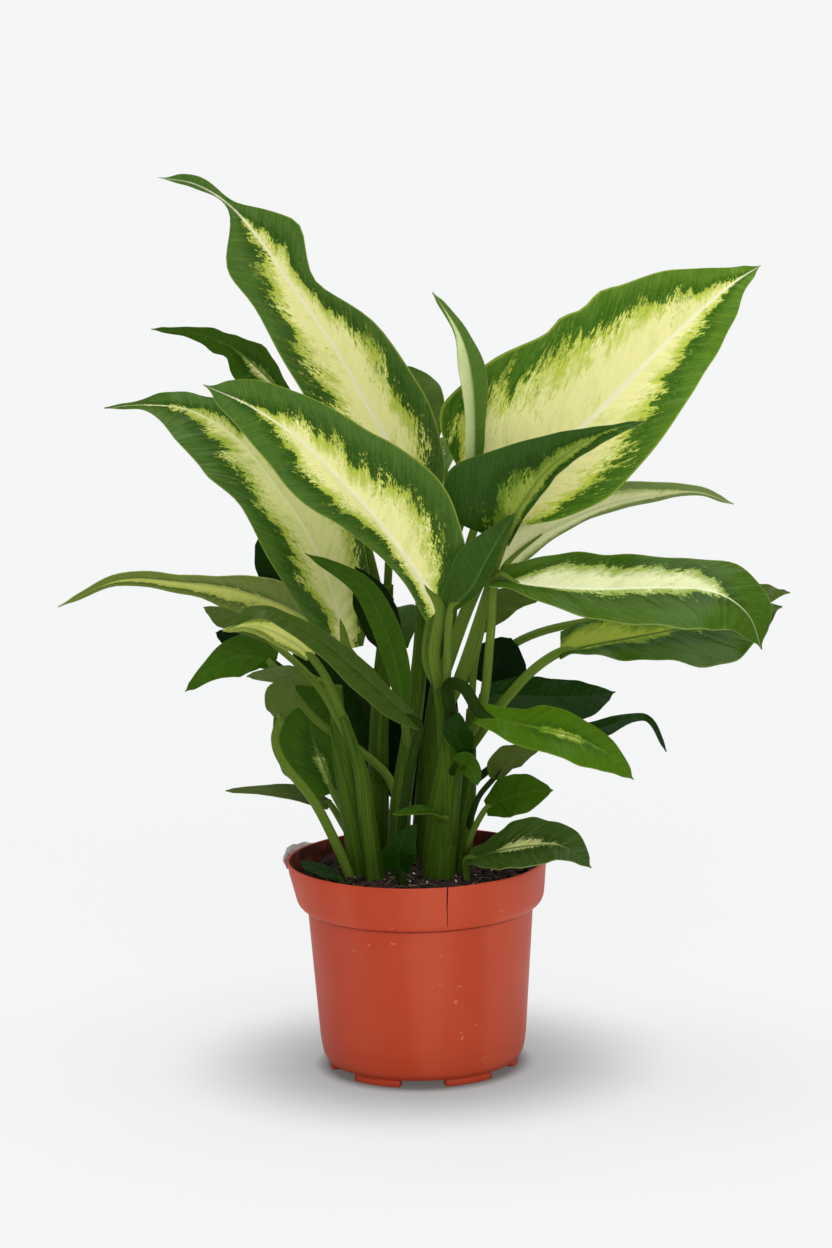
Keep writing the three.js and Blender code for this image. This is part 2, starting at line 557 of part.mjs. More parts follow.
    name: 'leaf_rear_left', stem: 'stem_rear_left', at: 200, via: [[-18, 44, 222]], stalk: [2.2, 1.8],
    face: [-0.1, -0.2, 1], fold: [14, 14], wave: 1, color: variegatedGreen,
    rib: [[-24, 52, 238, 7, 7], [-38, 68, 248, 18, 18], [-54, 86, 250, 15, 15], [-72, 103, 241, 1, 1]],
  },
  {
    name: 'leaf_rear_upper_left', stem: 'stem_rear_left', at: 220, via: [[-10, 34, 262]], stalk: [2, 1.6],
    face: [-0.3, -0.5, 1], fold: [16, 16], wave: 0.8, color: variegatedGreen,
    rib: [[-12, 36, 298, 4, 4], [-20, 50, 318, 12, 12], [-32, 70, 330, 10, 10], [-46, 92, 332, 1, 1]],
  },
  {
    name: 'leaf_rear_middle', stem: 'stem_rear_left', at: 164, via: [[-12, 44, 180]], stalk: [2, 1.6],
    face: [0, -0.1, 1], fold: [12, 12], wave: 0.8, color: darkGreen,
    rib: [[-9, 52, 190, 6, 6], [-12, 70, 200, 15, 15], [-16, 90, 202, 12, 12], [-20, 105, 191, 1, 1]],
  },
  {
    name: 'leaf_rear_low_right', stem: 'stem_rear_right', at: 99, via: [[7, 44, 104]], stalk: [2, 1.6],
    face: [0.1, -1, 0.3], fold: [10, 10], wave: 0.6, color: darkGreen,
    rib: [[6, 48, 110, 4, 4], [5, 51, 121, 13, 17], [5, 55, 142, 16, 19], [7, 61, 165, 13, 16],
      [11, 70, 187, 1, 1]],
  },
  {
    name: 'leaf_rear_low_left', stem: 'stem_rear_left', at: 104, via: [[-25, 44, 114]], stalk: [2, 1.6],
    face: [-0.1, -1, 0.3], fold: [10, 10], wave: 0.6, color: darkGreen,
    rib: [[-26, 48, 124, 5, 5], [-28, 52, 142, 11, 15], [-33, 58, 163, 13, 16],
      [-46, 67, 186, 11, 14], [-60, 76, 204, 1, 1]],
  },
];
const LARGE_WIDTH = 36;
const SMALL_WIDTH = 16;
const STALK_SIDES = 5;
const STALK_OVERLAP = 0.1;
const WAVES = 2.5;

// The rib's direction, the way up off the blade, and the way across it, at one place on the rib.
function bladeFrame(leaf, u) {
  const forward = direction(leaf.rib, u);
  const up = new THREE.Vector3(...leaf.face).normalize();
  up.addScaledVector(forward, -forward.dot(up)).normalize();
  return { up, across: forward.clone().cross(up) };
}

// A point of the upper side: u runs from the base to the tip, v from one edge (-1) to the other (1).
function bladePoint(leaf, u, v) {
  const { up, across } = bladeFrame(leaf, u);
  const row = along(leaf.rib, u);
  const first = v > 0;
  const width = Math.max(first ? row[3] : row[4], 0.5);
  const opening = Math.sin(Math.PI * Math.min(1, 0.25 + 0.9 * u));
  const rise = radians((first ? leaf.fold[0] : leaf.fold[1]) * opening);
  const reach = Math.abs(v) * width;
  const phase = 2 * Math.PI * (WAVES * u + (first ? 0 : 0.35));
  const wave = leaf.wave * Math.sin(phase) * v * v * Math.min(1, width / 8);
  const point = place(row);
  point.addScaledVector(across, Math.sign(v) * reach * Math.cos(rise));
  return point.addScaledVector(up, reach * Math.sin(rise) + wave);
}

// Stations lie closer together towards the base and the tip.
const station = (s) => s - 0.11 * Math.sin(2 * Math.PI * s);

// A thin closed plate from the points of its upper face, row by row, and then of its lower face.
// Both faces are cut into triangles the same way, so that they never cross.
function thinPlate(points, stations, columns) {
  const below = (stations + 1) * columns;
  const triangles = [];
  const quad = (a, b, c, d) => triangles.push([a, b, c], [a, c, d]);
  for (let i = 0; i < stations; i += 1) {
    for (let j = 0; j < columns - 1; j += 1) {
      const a = i * columns + j;
      const b = a + columns;
      quad(a, a + 1, b + 1, b);
      quad(below + a, below + b, below + b + 1, below + a + 1);
    }
    const left = i * columns;
    const right = left + columns - 1;
    quad(left, left + columns, below + left + columns, below + left);
    quad(right, below + right, below + right + columns, right + columns);
  }
  const tip = stations * columns;
  for (let j = 0; j < columns - 1; j += 1) {
    quad(j, below + j, below + j + 1, j + 1);
    quad(tip + j, tip + j + 1, below + tip + j + 1, below + tip + j);
  }
  return toSolid(fromTriangles(points, triangles));
}

function bladeSolid(leaf) {
  const widest = Math.max(...leaf.rib.map((row) => row[3] + row[4]));
  const half = widest > SMALL_WIDTH ? 2 : 1;
  const stations = widest > LARGE_WIDTH ? 11 : 7;
  const columns = 2 * half + 1;
  const points = [];
  [0, BLADE_THICKNESS].forEach((depth) => {
    for (let i = 0; i <= stations; i += 1) {
      const u = station(i / stations);
      const { up } = bladeFrame(leaf, u);
      for (let j = 0; j < columns; j += 1) {
        points.push(bladePoint(leaf, u, j / half - 1).addScaledVector(up, -depth));
      }
    }
  });
  return thinPlate(points, stations, columns);
}

// The stalk runs a little way on under the blade's rib.
function stalkRows(leaf) {
  const foot = leaf.stem ? [stemPoint(leaf.stem, leaf.at)] : [];
  const into = along(leaf.rib, STALK_OVERLAP).slice(0, 3);
  const places = [...foot, ...leaf.via, leaf.rib[0].slice(0, 3), into];
  const [thick, thin] = leaf.stalk;
  return places.map((p, i) => {
    const done = i / (places.length - 1);
    const radius = done < 1 ? THREE.MathUtils.lerp(thick, thin, done) : thin * 0.6;
    return [...p, radius];
  });
}

function stalkSolid(leaf, grow = 0) {
  const rows = stalkRows(leaf);
  return tube(rows, STALK_SIDES, Math.max(4, rows.length), grow);
}

function leafSolid(leaf) {
  let solid = bladeSolid(leaf).add(stalkSolid(leaf));
  if (leaf.stem) {
    solid = solid.subtract(stemSolid(leaf.stem, GAP));
  }
  return largestPiece(solid);
}

// ---- scrap of film, caught on the outside of the lip ----
function makeFilmScrap() {
  const rows = [[-59.85, 16, 95], [-60.35, 16.6, 99], [-61, 17.4, 103]];
  const points = [];
  const halfWidth = 4;
  const thickness = 0.7;
  const spans = 4;
  [0, thickness].forEach((depth) => {
    for (let i = 0; i <= spans; i += 1) {
      const middle = place(along(rows, i / spans));
      for (const side of [-1, 0, 1]) {
        const shift = new THREE.Vector3(0.27, 0.96, 0).multiplyScalar(side * (halfWidth - 0.5 * i));
        points.push(middle.clone().add(shift).add(new THREE.Vector3(-depth, 0, 0)));
      }
    }
  });
  return thinPlate(points, spans, 3);
}

// ---- assembly ----
const plant = new THREE.Group();

function addPiece(name, solid, material) {
  const mesh = new THREE.Mesh(toGeometry(solid), material);
  mesh.name = name;
  plant.add(mesh);
}

const stemHoles = Object.keys(stems).map((name) => stemSolid(name, GAP));
const stalkHoles = leaves.filter((leaf) => !leaf.stem).map((leaf) => stalkSolid(leaf, GAP));

addPiece('pot', makePot(), terracottaPlastic);
addPiece('soil', makeSoil([...stemHoles, ...stalkHoles]), peat);
addPiece('film_scrap', makeFilmScrap(), clearFilm);
Object.keys(stems).forEach((name) => addPiece(name, stemSolid(name), stemGreen));
leaves.forEach((leaf) => addPiece(leaf.name, leafSolid(leaf), leaf.color));

export default plant;
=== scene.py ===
# %% [markdown]
# # A dieffenbachia in a nursery pot
# The plant is a soft thing: thin waved blades on fleshy stalks, in a thin-walled pot.
# Every blade is a flat grid that is bent along its rib, so one recipe makes them all, and
# each leaf differs only by its own row in a table. The colours are painted by nodes.

import math
import random
from collections import namedtuple

import bmesh
import bpy
from mathutils import Matrix, Vector, noise


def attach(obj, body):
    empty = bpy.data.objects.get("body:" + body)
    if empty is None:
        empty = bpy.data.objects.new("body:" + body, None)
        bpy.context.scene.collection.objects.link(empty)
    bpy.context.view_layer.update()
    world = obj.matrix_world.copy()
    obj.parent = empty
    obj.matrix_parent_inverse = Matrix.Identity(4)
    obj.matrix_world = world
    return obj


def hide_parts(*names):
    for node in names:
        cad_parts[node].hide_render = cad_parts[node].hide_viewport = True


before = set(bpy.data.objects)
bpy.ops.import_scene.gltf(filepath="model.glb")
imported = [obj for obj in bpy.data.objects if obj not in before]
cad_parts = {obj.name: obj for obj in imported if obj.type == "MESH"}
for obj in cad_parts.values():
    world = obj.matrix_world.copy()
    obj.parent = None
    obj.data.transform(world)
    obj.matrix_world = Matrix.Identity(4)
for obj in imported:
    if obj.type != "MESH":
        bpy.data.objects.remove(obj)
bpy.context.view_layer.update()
MM = 0.001
print("nodes in the frame:", len(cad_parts))

# %% [markdown]
# ## Helpers for objects
# A piece is built in one bmesh and turned into an object that sits at the origin, because
# its place is in its mesh. The same small function finishes every piece.

# %% From a bmesh to a piece
def add_object(name, data):
    thing = bpy.data.objects.new(name, data)
    bpy.context.scene.collection.objects.link(thing)
    return thing


def make_mesh(bm, name, materials):
    mesh = bpy.data.meshes.new(name)
    bm.to_mesh(mesh)
    bm.free()
    for material in materials:
        mesh.materials.append(material)
    return add_object(name, mesh)


def finish_piece(bm, name, materials, stands_for=None):
    """Makes an object of the mesh, rides it on the part's body and hides the model's part that it
    stands for.
    """
    piece = make_mesh(bm, name, materials)
    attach(piece, "root")
    if stands_for:
        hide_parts(stands_for)

# %% [markdown]
# ## Camera
# The photograph was taken from a little above the foliage with a long lens, and the camera
# leant slightly to one side. A long lens a good way off keeps the upright lines nearly parallel.

# %% Camera
SENSOR = 36.0
FRAME_HEIGHT_PIXELS = 1248
FOCAL_PIXELS = 4793
CAMERA_PLACE = Vector((0.9, -2200, 648)) * MM
CAMERA_DOWN = 11.2
CAMERA_ROLL = -1.3

camera_data = bpy.data.cameras.new("camera")
camera_data.sensor_width = SENSOR
camera_data.lens = SENSOR * FOCAL_PIXELS / FRAME_HEIGHT_PIXELS
camera = add_object("camera", camera_data)
tilt = Matrix.Rotation(math.radians(90 - CAMERA_DOWN), 3, "X")
lean = tilt @ Matrix.Rotation(math.radians(CAMERA_ROLL), 3, "Z")
camera.matrix_world = Matrix.Translation(CAMERA_PLACE) @ lean.to_4x4()
bpy.context.scene.camera = camera
print("lens", round(camera_data.lens, 1), "mm")

# %% [markdown]
# ## Curves
# Stems, stalks and ribs all follow a smooth curve through a few rows of numbers. A row is a
# place in millimetres, with a radius or two half widths behind it, so the curve carries both.

# %% A smooth curve through rows of numbers
def along(rows, t):
    spans = len(rows) - 1
    scaled = min(max(t, 0.0), 1.0) * spans
    i = min(int(scaled), spans - 1)
    f = scaled - i
    result = []
    for k in range(len(rows[0])):
        p1 = rows[i][k]
        p2 = rows[i + 1][k]
        p0 = rows[i - 1][k] if i > 0 else 2 * p1 - p2
        p3 = rows[i + 2][k] if i < spans - 1 else 2 * p2 - p1
        cubic = 3 * p1 - p0 - 3 * p2 + p3
        square = 2 * p0 - 5 * p1 + 4 * p2 - p3
        result.append(0.5 * (2 * p1 + (p2 - p0) * f + square * f * f + cubic * f ** 3))
    return result


def place(row):
    return Vector(row[:3])


def direction(rows, t, step=0.01):
    return (place(along(rows, min(t + step, 1))) - place(along(rows, max(t - step, 0)))).normalized()


def run_length(rows):
    return sum((place(after) - place(before)).length for before, after in zip(rows, rows[1:]))


def square_to(tangent, hint):
    """Two directions square to the tangent, the first as near to the hint as it can be."""
    upward = (hint - tangent * hint.dot(tangent)).normalized()
    return upward, tangent.cross(upward)


def smooth_step(value, low, high):
    t = min(max((value - low) / (high - low), 0.0), 1.0)
    return t * t * (3 - 2 * t)

# %% [markdown]
# ## Colours
# Colours are named as they look on a screen and turned into the linear values that
# the shader works with.

# %% Colours
SHEEN = 0.006
LEAST = 0.002


def screen(red, green, blue):
    linear = []
    for value in (red, green, blue):
        value /= 255
        linear.append(value / 12.92 if value <= 0.04045 else ((value + 0.055) / 1.055) ** 2.4)
    return (*linear, 1.0)


def seen(red, green, blue):
    """The base colour of a slightly shiny surface that looks so under a soft white light. Its
    sheen adds the same to all three, so it is taken off."""
    return (*(max(value - SHEEN, LEAST) for value in screen(red, green, blue)[:3]), 1.0)

# %% [markdown]
# ## Node trees
# A value that runs between nodes can be added, subtracted and multiplied as a number can,
# and each sign adds a node. So a material reads like a sum.

# %% Values and node trees
class Value:
    """What a node puts out, with the signs of a number."""

    def __init__(self, net, socket):
        self.net = net
        self.socket = socket

    def __add__(self, other):
        return self.net.math("ADD", self, other)

    def __sub__(self, other):
        return self.net.math("SUBTRACT", self, other)

    def __rsub__(self, other):
        return self.net.math("SUBTRACT", other, self)

    def __mul__(self, other):
        return self.net.math("MULTIPLY", self, other)


class Net:
    """A short way to add nodes to a tree and to join them."""

    def __init__(self, tree):
        self.tree = tree

    def put(self, socket, value):
        if isinstance(value, Value):
            self.tree.links.new(value.socket, socket)
        else:
            socket.default_value = value

    def fill(self, node, values):
        for label, value in values.items():
            self.put(node.inputs[label], value)

    def add(self, kind, *values, **settings):
        """Adds a node with its first inputs filled, and gives its outputs."""
        node = self.tree.nodes.new(kind)
        for key, value in settings.items():
            setattr(node, key, value)
        for socket, value in zip(node.inputs, values):
            self.put(socket, value)
        return [Value(self, output) for output in node.outputs]

    def math(self, operation, *values):
        return self.add("ShaderNodeMath", *values, operation=operation)[0]

    def step(self, value, low, high, to_low=0.0, to_high=1.0):
        ends = (low, high, to_low, to_high)
        return self.add("ShaderNodeMapRange", value, *ends, interpolation_type="SMOOTHSTEP")[0]

    def combine(self, x, y, z):
        return self.add("ShaderNodeCombineXYZ", x, y, z)[0]

    def separate(self, vector):
        return self.add("ShaderNodeSeparateXYZ", vector)

    def mix(self, factor, a, b, blend="MIX"):
        node = self.tree.nodes.new("ShaderNodeMix")
        node.data_type = "RGBA"
        node.blend_type = blend
        self.fill(node, {"Factor": factor, 6: a, 7: b})
        return Value(self, node.outputs[2])

    def noise(self, vector, scale, detail=2.0, rough=0.5):
        node = self.tree.nodes.new("ShaderNodeTexNoise")
        self.fill(node, {"Vector": vector, "Scale": scale, "Detail": detail, "Roughness": rough})
        return Value(self, node.outputs[0])

    def place(self):
        """Where the point lies, in metres."""
        return Value(self, self.tree.nodes.new("ShaderNodeTexCoord").outputs["Object"])

    def own(self, name):
        """The three numbers that the mesh's points keep under this name."""
        node = self.tree.nodes.new("ShaderNodeAttribute")
        node.attribute_name = name
        return Value(self, node.outputs["Vector"])

    def group(self, tree, values):
        node = self.tree.nodes.new("ShaderNodeGroup")
        node.node_tree = tree
        self.fill(node, values)
        return {output.name: Value(self, output) for output in node.outputs}

    def dress(self, color, roughness, height, depth, strength, specular=0.5):
        """Joins a colour, a roughness and a bump, depth millimetres deep, to the shader."""
        bump = self.tree.nodes.new("ShaderNodeBump")
        self.fill(bump, {"Height": height, "Distance": depth * MM, "Strength": strength})
        self.surface({
            "Base Color": color, "Roughness": roughness, "Specular IOR Level": specular,
            "Normal": Value(self, bump.outputs[0]),
        })

    def surface(self, values):
        self.fill(self.tree.nodes["Principled BSDF"], values)


def new_material(name):
    material = bpy.data.materials.new(name)
    material.use_nodes = True
    return material, Net(material.node_tree)


VECTOR = (0, 0, 0)
COLOR = (0, 0, 0, 1)
FLOAT = 0.0
SOCKET_KINDS = {VECTOR: "NodeSocketVector", COLOR: "NodeSocketColor"}


def new_group(name, inputs, outputs):
    """A node group. Its sockets are named with their resting values, which tell their kinds."""
    tree = bpy.data.node_groups.new(name, "ShaderNodeTree")
    for way, sockets in (("INPUT", inputs), ("OUTPUT", outputs)):
        for label, value in sockets.items():
            kind = SOCKET_KINDS.get(value, "NodeSocketFloat")
            tree.interface.new_socket(label, in_out=way, socket_type=kind).default_value = value
    net = Net(tree)
    start, end = tree.nodes.new("NodeGroupInput"), tree.nodes.new("NodeGroupOutput")
    return tree, net, {label: Value(net, start.outputs[label]) for label in inputs}, end

# %% [markdown]
# ## Bent grids
# A grid can be bent into almost anything on this plant: a blade, or, rolled up until its
# sides meet, a stalk or a root. The grid operator makes the faces, and one function says where
# each of its points goes. The points also carry values that the materials read.

# %% A grid that is bent by a function
WELD = 1e-7
POINT_VALUES = "grain", "blade"


def new_bmesh():
    bm = bmesh.new()
    for label in POINT_VALUES:
        bm.verts.layers.float_vector.new(label)
    return bm


def faces_at(verts):
    return {face for vert in verts for face in vert.link_faces}


def smooth_shade(faces):
    for face in faces:
        face.smooth = True


def bent_grid(bm, columns, rows, shape, marks):
    """Adds a grid whose points go to shape(u, w), with u and w from 0 to 1. marks(u, w) gives
    the values that each point keeps for the materials."""
    made = bmesh.ops.create_grid(bm, x_segments=columns, y_segments=rows, size=0.5)["verts"]
    layers = [bm.verts.layers.float_vector.get(label) for label in POINT_VALUES]
    for vert in made:
        u = vert.co.x + 0.5
        w = vert.co.y + 0.5
        for layer, value in zip(layers, marks(u, w)):
            vert[layer] = value
        vert.co = shape(u, w) * MM
    return made


def boundary_edges(verts):
    return [edge for edge in {e for v in verts for e in v.link_edges} if edge.is_boundary]


def thin_sheet(bm, across, lengthwise, shape, marks, thickness):
    """Two bent grids, a thickness apart, with their edges bridged. shape takes how deep the
    grid lies, too. Returns the faces of the upper side, the underside and the rim."""
    made = [
        bent_grid(bm, lengthwise, across, lambda u, w, depth=depth: shape(u, w, depth), marks)
        for depth in (0.0, thickness)
    ]
    top, low = (faces_at(verts) for verts in made)
    bmesh.ops.reverse_faces(bm, faces=list(low))
    edges = boundary_edges(made[0]) + boundary_edges(made[1])
    rim = bmesh.ops.bridge_loops(bm, edges=edges)["faces"]
    smooth_shade(top | low | set(rim))
    for face in rim:
        for edge in face.edges:
            if any(other not in rim for other in edge.link_faces):
                edge.smooth = False
    return top, low, rim

# %% [markdown]
# ## Tubes
# Stalks, stems and roots are round in section and taper. A leaf stalk has a channel along
# its upper side, so the section takes a dent there.

# %% A tube along a curve
CHANNEL_SPREAD = 0.22
LEAST_RADIUS = 0.05
FRONT = (0, -1, 0)


def tube(bm, rows, sides, rings, channel=0.0, top=FRONT, seed=0.0, flutes=0, flute_depth=0.0):
    """rows hold a place and a radius in millimetres. channel dents the side that looks along top."""
    length = run_length(rows)
    cache = {}

    def ring(u):
        key = round(u, 6)
        if key not in cache:
            row = along(rows, u)
            upward, aside = square_to(direction(rows, u), Vector(top))
            cache[key] = place(row), max(row[3], LEAST_RADIUS), upward, aside
        return cache[key]

    def shape(u, w):
        middle, radius, upward, aside = ring(u)
        angle = -2 * math.pi * w
        dent = channel * math.exp(-((math.cos(angle) - 1) / CHANNEL_SPREAD) ** 2)
        ridge = flute_depth * math.cos(flutes * angle + seed)
        reach = radius * (1 - dent + ridge)
        return middle + (upward * math.cos(angle) + aside * math.sin(angle)) * reach

    made = bent_grid(bm, rings, sides, shape, lambda u, w: ((u * length, w, 0.0), (u, w, seed)))
    bmesh.ops.remove_doubles(bm, verts=made, dist=WELD)
    alive = [vert for vert in made if vert.is_valid]
    bmesh.ops.holes_fill(bm, edges=boundary_edges(alive), sides=0)
    faces = faces_at(alive)
    smooth_shade(faces)
    bmesh.ops.recalc_face_normals(bm, faces=list(faces))
    return faces

# %% [markdown]
# ## Materials of the leaves
# A leaf is painted by how far a point is from the midrib. Every blade's points keep that
# as a number, the field: above nothing it lies in the pale centre, below it in the green
# margin. Noise that is stretched along the side veins shifts the field, which feathers the
# edge between the two into streaks and flecks, as on the real leaf.

# %% Streaks and speckles
# Sweeps, Streaks and Lines follow the side veins, Speckles are small round flecks, and Patches
# are wide clouds that decide where the feathering is wild and where it is quiet.
STREAKS = {
    # name: (scale across the side veins, scale along them, detail)
    "Sweeps": (0.1, 0.04, 2.0),
    "Streaks": (0.5, 0.2, 4.0),
    "Lines": (1.3, 0.07, 2.0),
    "Speckles": (0.8, 0.8, 4.0),
    "Patches": (0.08, 0.08, 2.0),
}
STREAK_ROUGHNESS = 0.6
streak_tree, net, given, result = new_group(
    "vein_streaks", {"Grain": VECTOR, "Seed": FLOAT}, dict.fromkeys(STREAKS, FLOAT)
)
grain_x, grain_y, _ = net.separate(given["Grain"])
for label, (across, lengthwise, detail) in STREAKS.items():
    stretched = net.combine(grain_x * across, grain_y * lengthwise, given["Seed"])
    net.fill(result, {label: net.noise(stretched, 1.0, detail, STREAK_ROUGHNESS) - 0.5})
print("group", streak_tree.name, "puts out", *STREAKS)

# %% The colours of a variegated blade
variegation_tree, net, given, result = new_group(
    "variegation",
    {
        "Grain": VECTOR, "Blade": VECTOR, "Feather": 0.5, "Margin": COLOR, "Deep": COLOR,
        "Lime": COLOR, "Cream": COLOR, "Rib": COLOR, "Rib Width": 1.0,
    },
    {"Color": COLOR, "Height": FLOAT, "Pale": FLOAT},
)
margin, deep, lime, cream = (given[label] for label in ("Margin", "Deep", "Lime", "Cream"))
_, from_rib, field = net.separate(given["Grain"])
blade_u, blade_v, seed = net.separate(given["Blade"])
streaks = net.group(streak_tree, {"Grain": given["Grain"], "Seed": seed})
sweeps, fine, lines, speckles, patches = (streaks[label] for label in STREAKS)
# the boundary wanders in wide sweeps, and its feathering is wilder in some patches
wander = sweeps * 0.75 + patches * 0.55
wildness = net.step(patches, -0.14, 0.16, 0.35, 1.5)
shift = (fine * 0.5 + speckles) * wildness + wander
noisy = shift * given["Feather"] + field
# margin green with darker mottling, deepest where it borders the pale part
mottle = speckles * 1.1 + fine * 0.9
near = net.step(patches * 0.5 + field, -0.5, -0.08)
color = net.mix(net.step(mottle, -0.05, 0.2) * 0.35, margin, deep)
color = net.mix(near * net.step(mottle, -0.28, 0.08, 0.35, 1.0), color, deep)
# lime first, then cream further in, with lime left in streaks
streaky = lines * 0.12 + noisy
color = net.mix(net.step(streaky, -0.05, 0.015), color, lime)
paling = patches * 0.25 + (fine * 0.2 + streaky)
color = net.mix(net.step(paling, 0.0, 0.32), color, cream)
pale = net.step(streaky, -0.04, 0.1)
# green flecks lie in the pale part, mostly near its edge, and lime ones in the green
islands = net.step(speckles + (fine * 0.9 + sweeps), 0.17, 0.27)
shore = net.step(field, 0.26, 0.02)
color = net.mix(islands * shore * pale, color, margin)
drift = net.step(sweeps - fine * 0.8 - speckles, 0.2, 0.3)
color = net.mix(drift * net.step(field, -0.42, -0.04, 0.0, 0.6), color, lime)
# faint veins in the green, and soft greener bands in the cream
veins = net.step(lines, 0.0, 0.2)
color = net.mix(veins * (0.1 - pale * 0.1), color, lime)
bands = net.step(fine * 0.6 + sweeps, -0.02, 0.2)
color = net.mix(bands * (pale * 0.22), color, lime)
# the midrib narrows towards the tip
rib_width = given["Rib Width"] * (1.15 - blade_u)
rib = 1.0 - net.step(net.math("ABSOLUTE", from_rib), rib_width * 0.15, rib_width * 1.4)
color = net.mix(rib * net.step(noisy, -0.45, 0.1, 0.35, 0.95), color, given["Rib"])
# a thin pale line along the edge, a painted highlight
color = net.mix(net.step(blade_v, 0.965, 0.99) * 0.35, color, lime)
height = lines * 0.8 + (sweeps * 20.0 + fine * 0.8)
net.fill(result, {"Color": color, "Pale": pale, "Height": height})
print("group", variegation_tree.name, "made")

# %% A leaf's materials, upper side and underside
CREAM = seen(250, 246, 170)
RIB = seen(252, 250, 212)
VEIN_DEPTH = 0.2
UNDER_CREAM = seen(204, 208, 152)
UNDER_TINT = seen(150, 164, 100)
UNDER_SHARE = 0.4
UNDER_LOOK = {"feather": 0.3, "roughness": 0.55, "rib_width": 1.5}


def leaf_material(name, greens, cream=CREAM, rib=RIB, feather=0.5, rib_width=1.0,
                  roughness=0.42, specular=0.1):
    """greens are the colours of the margin, of its deeper mottling and of the lime."""
    material, net = new_material(name)
    margin, deep, lime = greens
    leaf = net.group(variegation_tree, {
        "Grain": net.own("grain"), "Blade": net.own("blade"), "Feather": feather,
        "Margin": margin, "Deep": deep, "Lime": lime, "Cream": cream, "Rib": rib,
        "Rib Width": rib_width,
    })
    dullness = net.step(leaf["Pale"], 0.0, 1.0, roughness, roughness + 0.08)
    net.dress(leaf["Color"], dullness, leaf["Height"], VEIN_DEPTH, 0.55, specular)
    return material


def leaf_pair(name, greens, under=UNDER_TINT, under_cream=UNDER_CREAM, under_rib=None, **values):
    """The shiny upper side and the duller underside of one finish."""
    upper = leaf_material(name, greens, **values)
    dull = [
        tuple((1 - UNDER_SHARE) * a + UNDER_SHARE * b for a, b in zip(color, under))
        for color in greens
    ]
    values.update(UNDER_LOOK, cream=under_cream, rib=under_rib or dull[0])
    return upper, leaf_material(name + "_under", dull, **values)


FINISHES = {
    # name: (margin, deep, lime, other colours and values)
    "bright": ((96, 134, 42), (58, 100, 24), (196, 210, 78), {"feather": 0.75, "rib_width": 2.0}),
    "cool": ((80, 114, 46), (50, 84, 25), (188, 202, 76),
             {"feather": 0.75, "rib_width": 1.5, "rib": (248, 246, 206)}),
    # a darker copy of cool, painted shade for the leaf that lies in the front centre leaf's shade
    "dim": ((76, 108, 42), (46, 80, 24), (160, 176, 66),
            {"feather": 0.75, "cream": (214, 216, 142), "rib": (220, 222, 166)}),
    "olive": ((68, 100, 28), (50, 80, 20), (152, 170, 78),
              {"cream": (228, 232, 180), "rib": (232, 236, 196)}),
    "limey": ((60, 90, 26), (40, 70, 16), (98, 124, 32),
              {"cream": (150, 166, 60), "rib": (58, 88, 28), "feather": 0.7}),
    "veined": ((56, 88, 34), (40, 68, 22), (100, 128, 36),
               {"cream": (154, 170, 70), "rib": (110, 136, 56), "feather": 0.9}),
    "pale": ((96, 124, 60), (78, 108, 46), (184, 196, 116),
             {"cream": (226, 230, 178), "under_cream": (226, 228, 172), "under_rib": (206, 210, 150)}),
    "yellow": ((154, 166, 76), (104, 128, 46), (190, 200, 92),
               {"cream": (212, 216, 116), "rib": (178, 190, 104)}),
    "mottled": ((112, 130, 56), (78, 100, 36), (176, 188, 84),
                {"cream": (196, 202, 104), "rib": (158, 172, 88)}),
    "spear": ((84, 116, 44), (66, 100, 32), (166, 186, 108),
              {"cream": (208, 220, 156), "rib": (150, 172, 100), "under": (130, 154, 84)}),
    "fresh": ((78, 116, 16), (60, 98, 12), (146, 174, 48), {"rib": (106, 138, 42)}),
    "sheath": ((54, 86, 30), (38, 66, 22), (112, 140, 60),
               {"rib": (112, 140, 66), "under": (76, 104, 44)}),
    "dull": ((60, 86, 34), (48, 74, 26), (186, 194, 120),
             {"rib": (92, 116, 58), "under": (90, 110, 60)}),
    "drab": ((76, 94, 36), (56, 76, 24), (120, 136, 62),
             {"rib": (88, 108, 46), "under": (80, 96, 40)}),
    "dusky": ((66, 88, 34), (50, 70, 24), (110, 130, 60),
              {"rib": (84, 106, 46), "under": (100, 118, 58)}),
    "green": ((57, 89, 20), (42, 72, 13), (112, 138, 50),
              {"rib": (78, 108, 42), "under": (88, 108, 46), "specular": 0.06}),
    # deep and shade are darker copies of the green finish, painted shade for leaves inside the foliage
    "deep": ((32, 58, 11), (23, 43, 8), (74, 100, 40),
             {"rib": (50, 78, 24), "under": (54, 74, 28), "specular": 0.05}),
    "shade": ((24, 40, 10), (16, 29, 7), (44, 64, 26),
              {"rib": (32, 50, 16), "under": (44, 60, 24), "specular": 0.03}),
}
finishes = {}
for name, (*greens, values) in FINISHES.items():
    colors = {key: seen(*value) for key, value in values.items() if isinstance(value, tuple)}
    greens = [seen(*green) for green in greens]
    finishes[name] = leaf_pair("leaf_" + name, greens, **{**values, **colors})
print("leaf finishes:", ", ".join(finishes))

# %% [markdown]
# ## Green stalks and stems
# A stalk is a lighter, yellower green than the blade, with fine lines along it and a
# slightly darker foot. The lines follow the tube, so they are read from its own values.
# Stalks inside the foliage take a darker copy, which is painted shade.

# %% Stalk material
STALK_LOOK = {"depth": 0.2, "strength": 0.35, "specular": 0.06}


def stalk_material(name, light, dark, foot, contrast=0.5):
    material, net = new_material(name)
    length, turn, _ = net.separate(net.own("grain"))
    rise, _, seed = net.separate(net.own("blade"))
    lines = net.noise(net.combine(length * 0.02, turn * 9.0, seed), 1.0)
    blotch = net.noise(net.combine(length * 0.07, turn * 3.0, seed), 1.0)
    color = net.mix(net.step(lines, 0.7, 0.32) * contrast, light, dark)
    color = net.mix(net.step(blotch, 0.42, 0.7) * (0.5 * contrast), color, dark)
    color = net.mix(net.step(rise, 0.16, 0.0), color, foot)
    net.dress(color, net.step(blotch, 0.3, 0.7, 0.5, 0.6), lines, **STALK_LOOK)
    return material


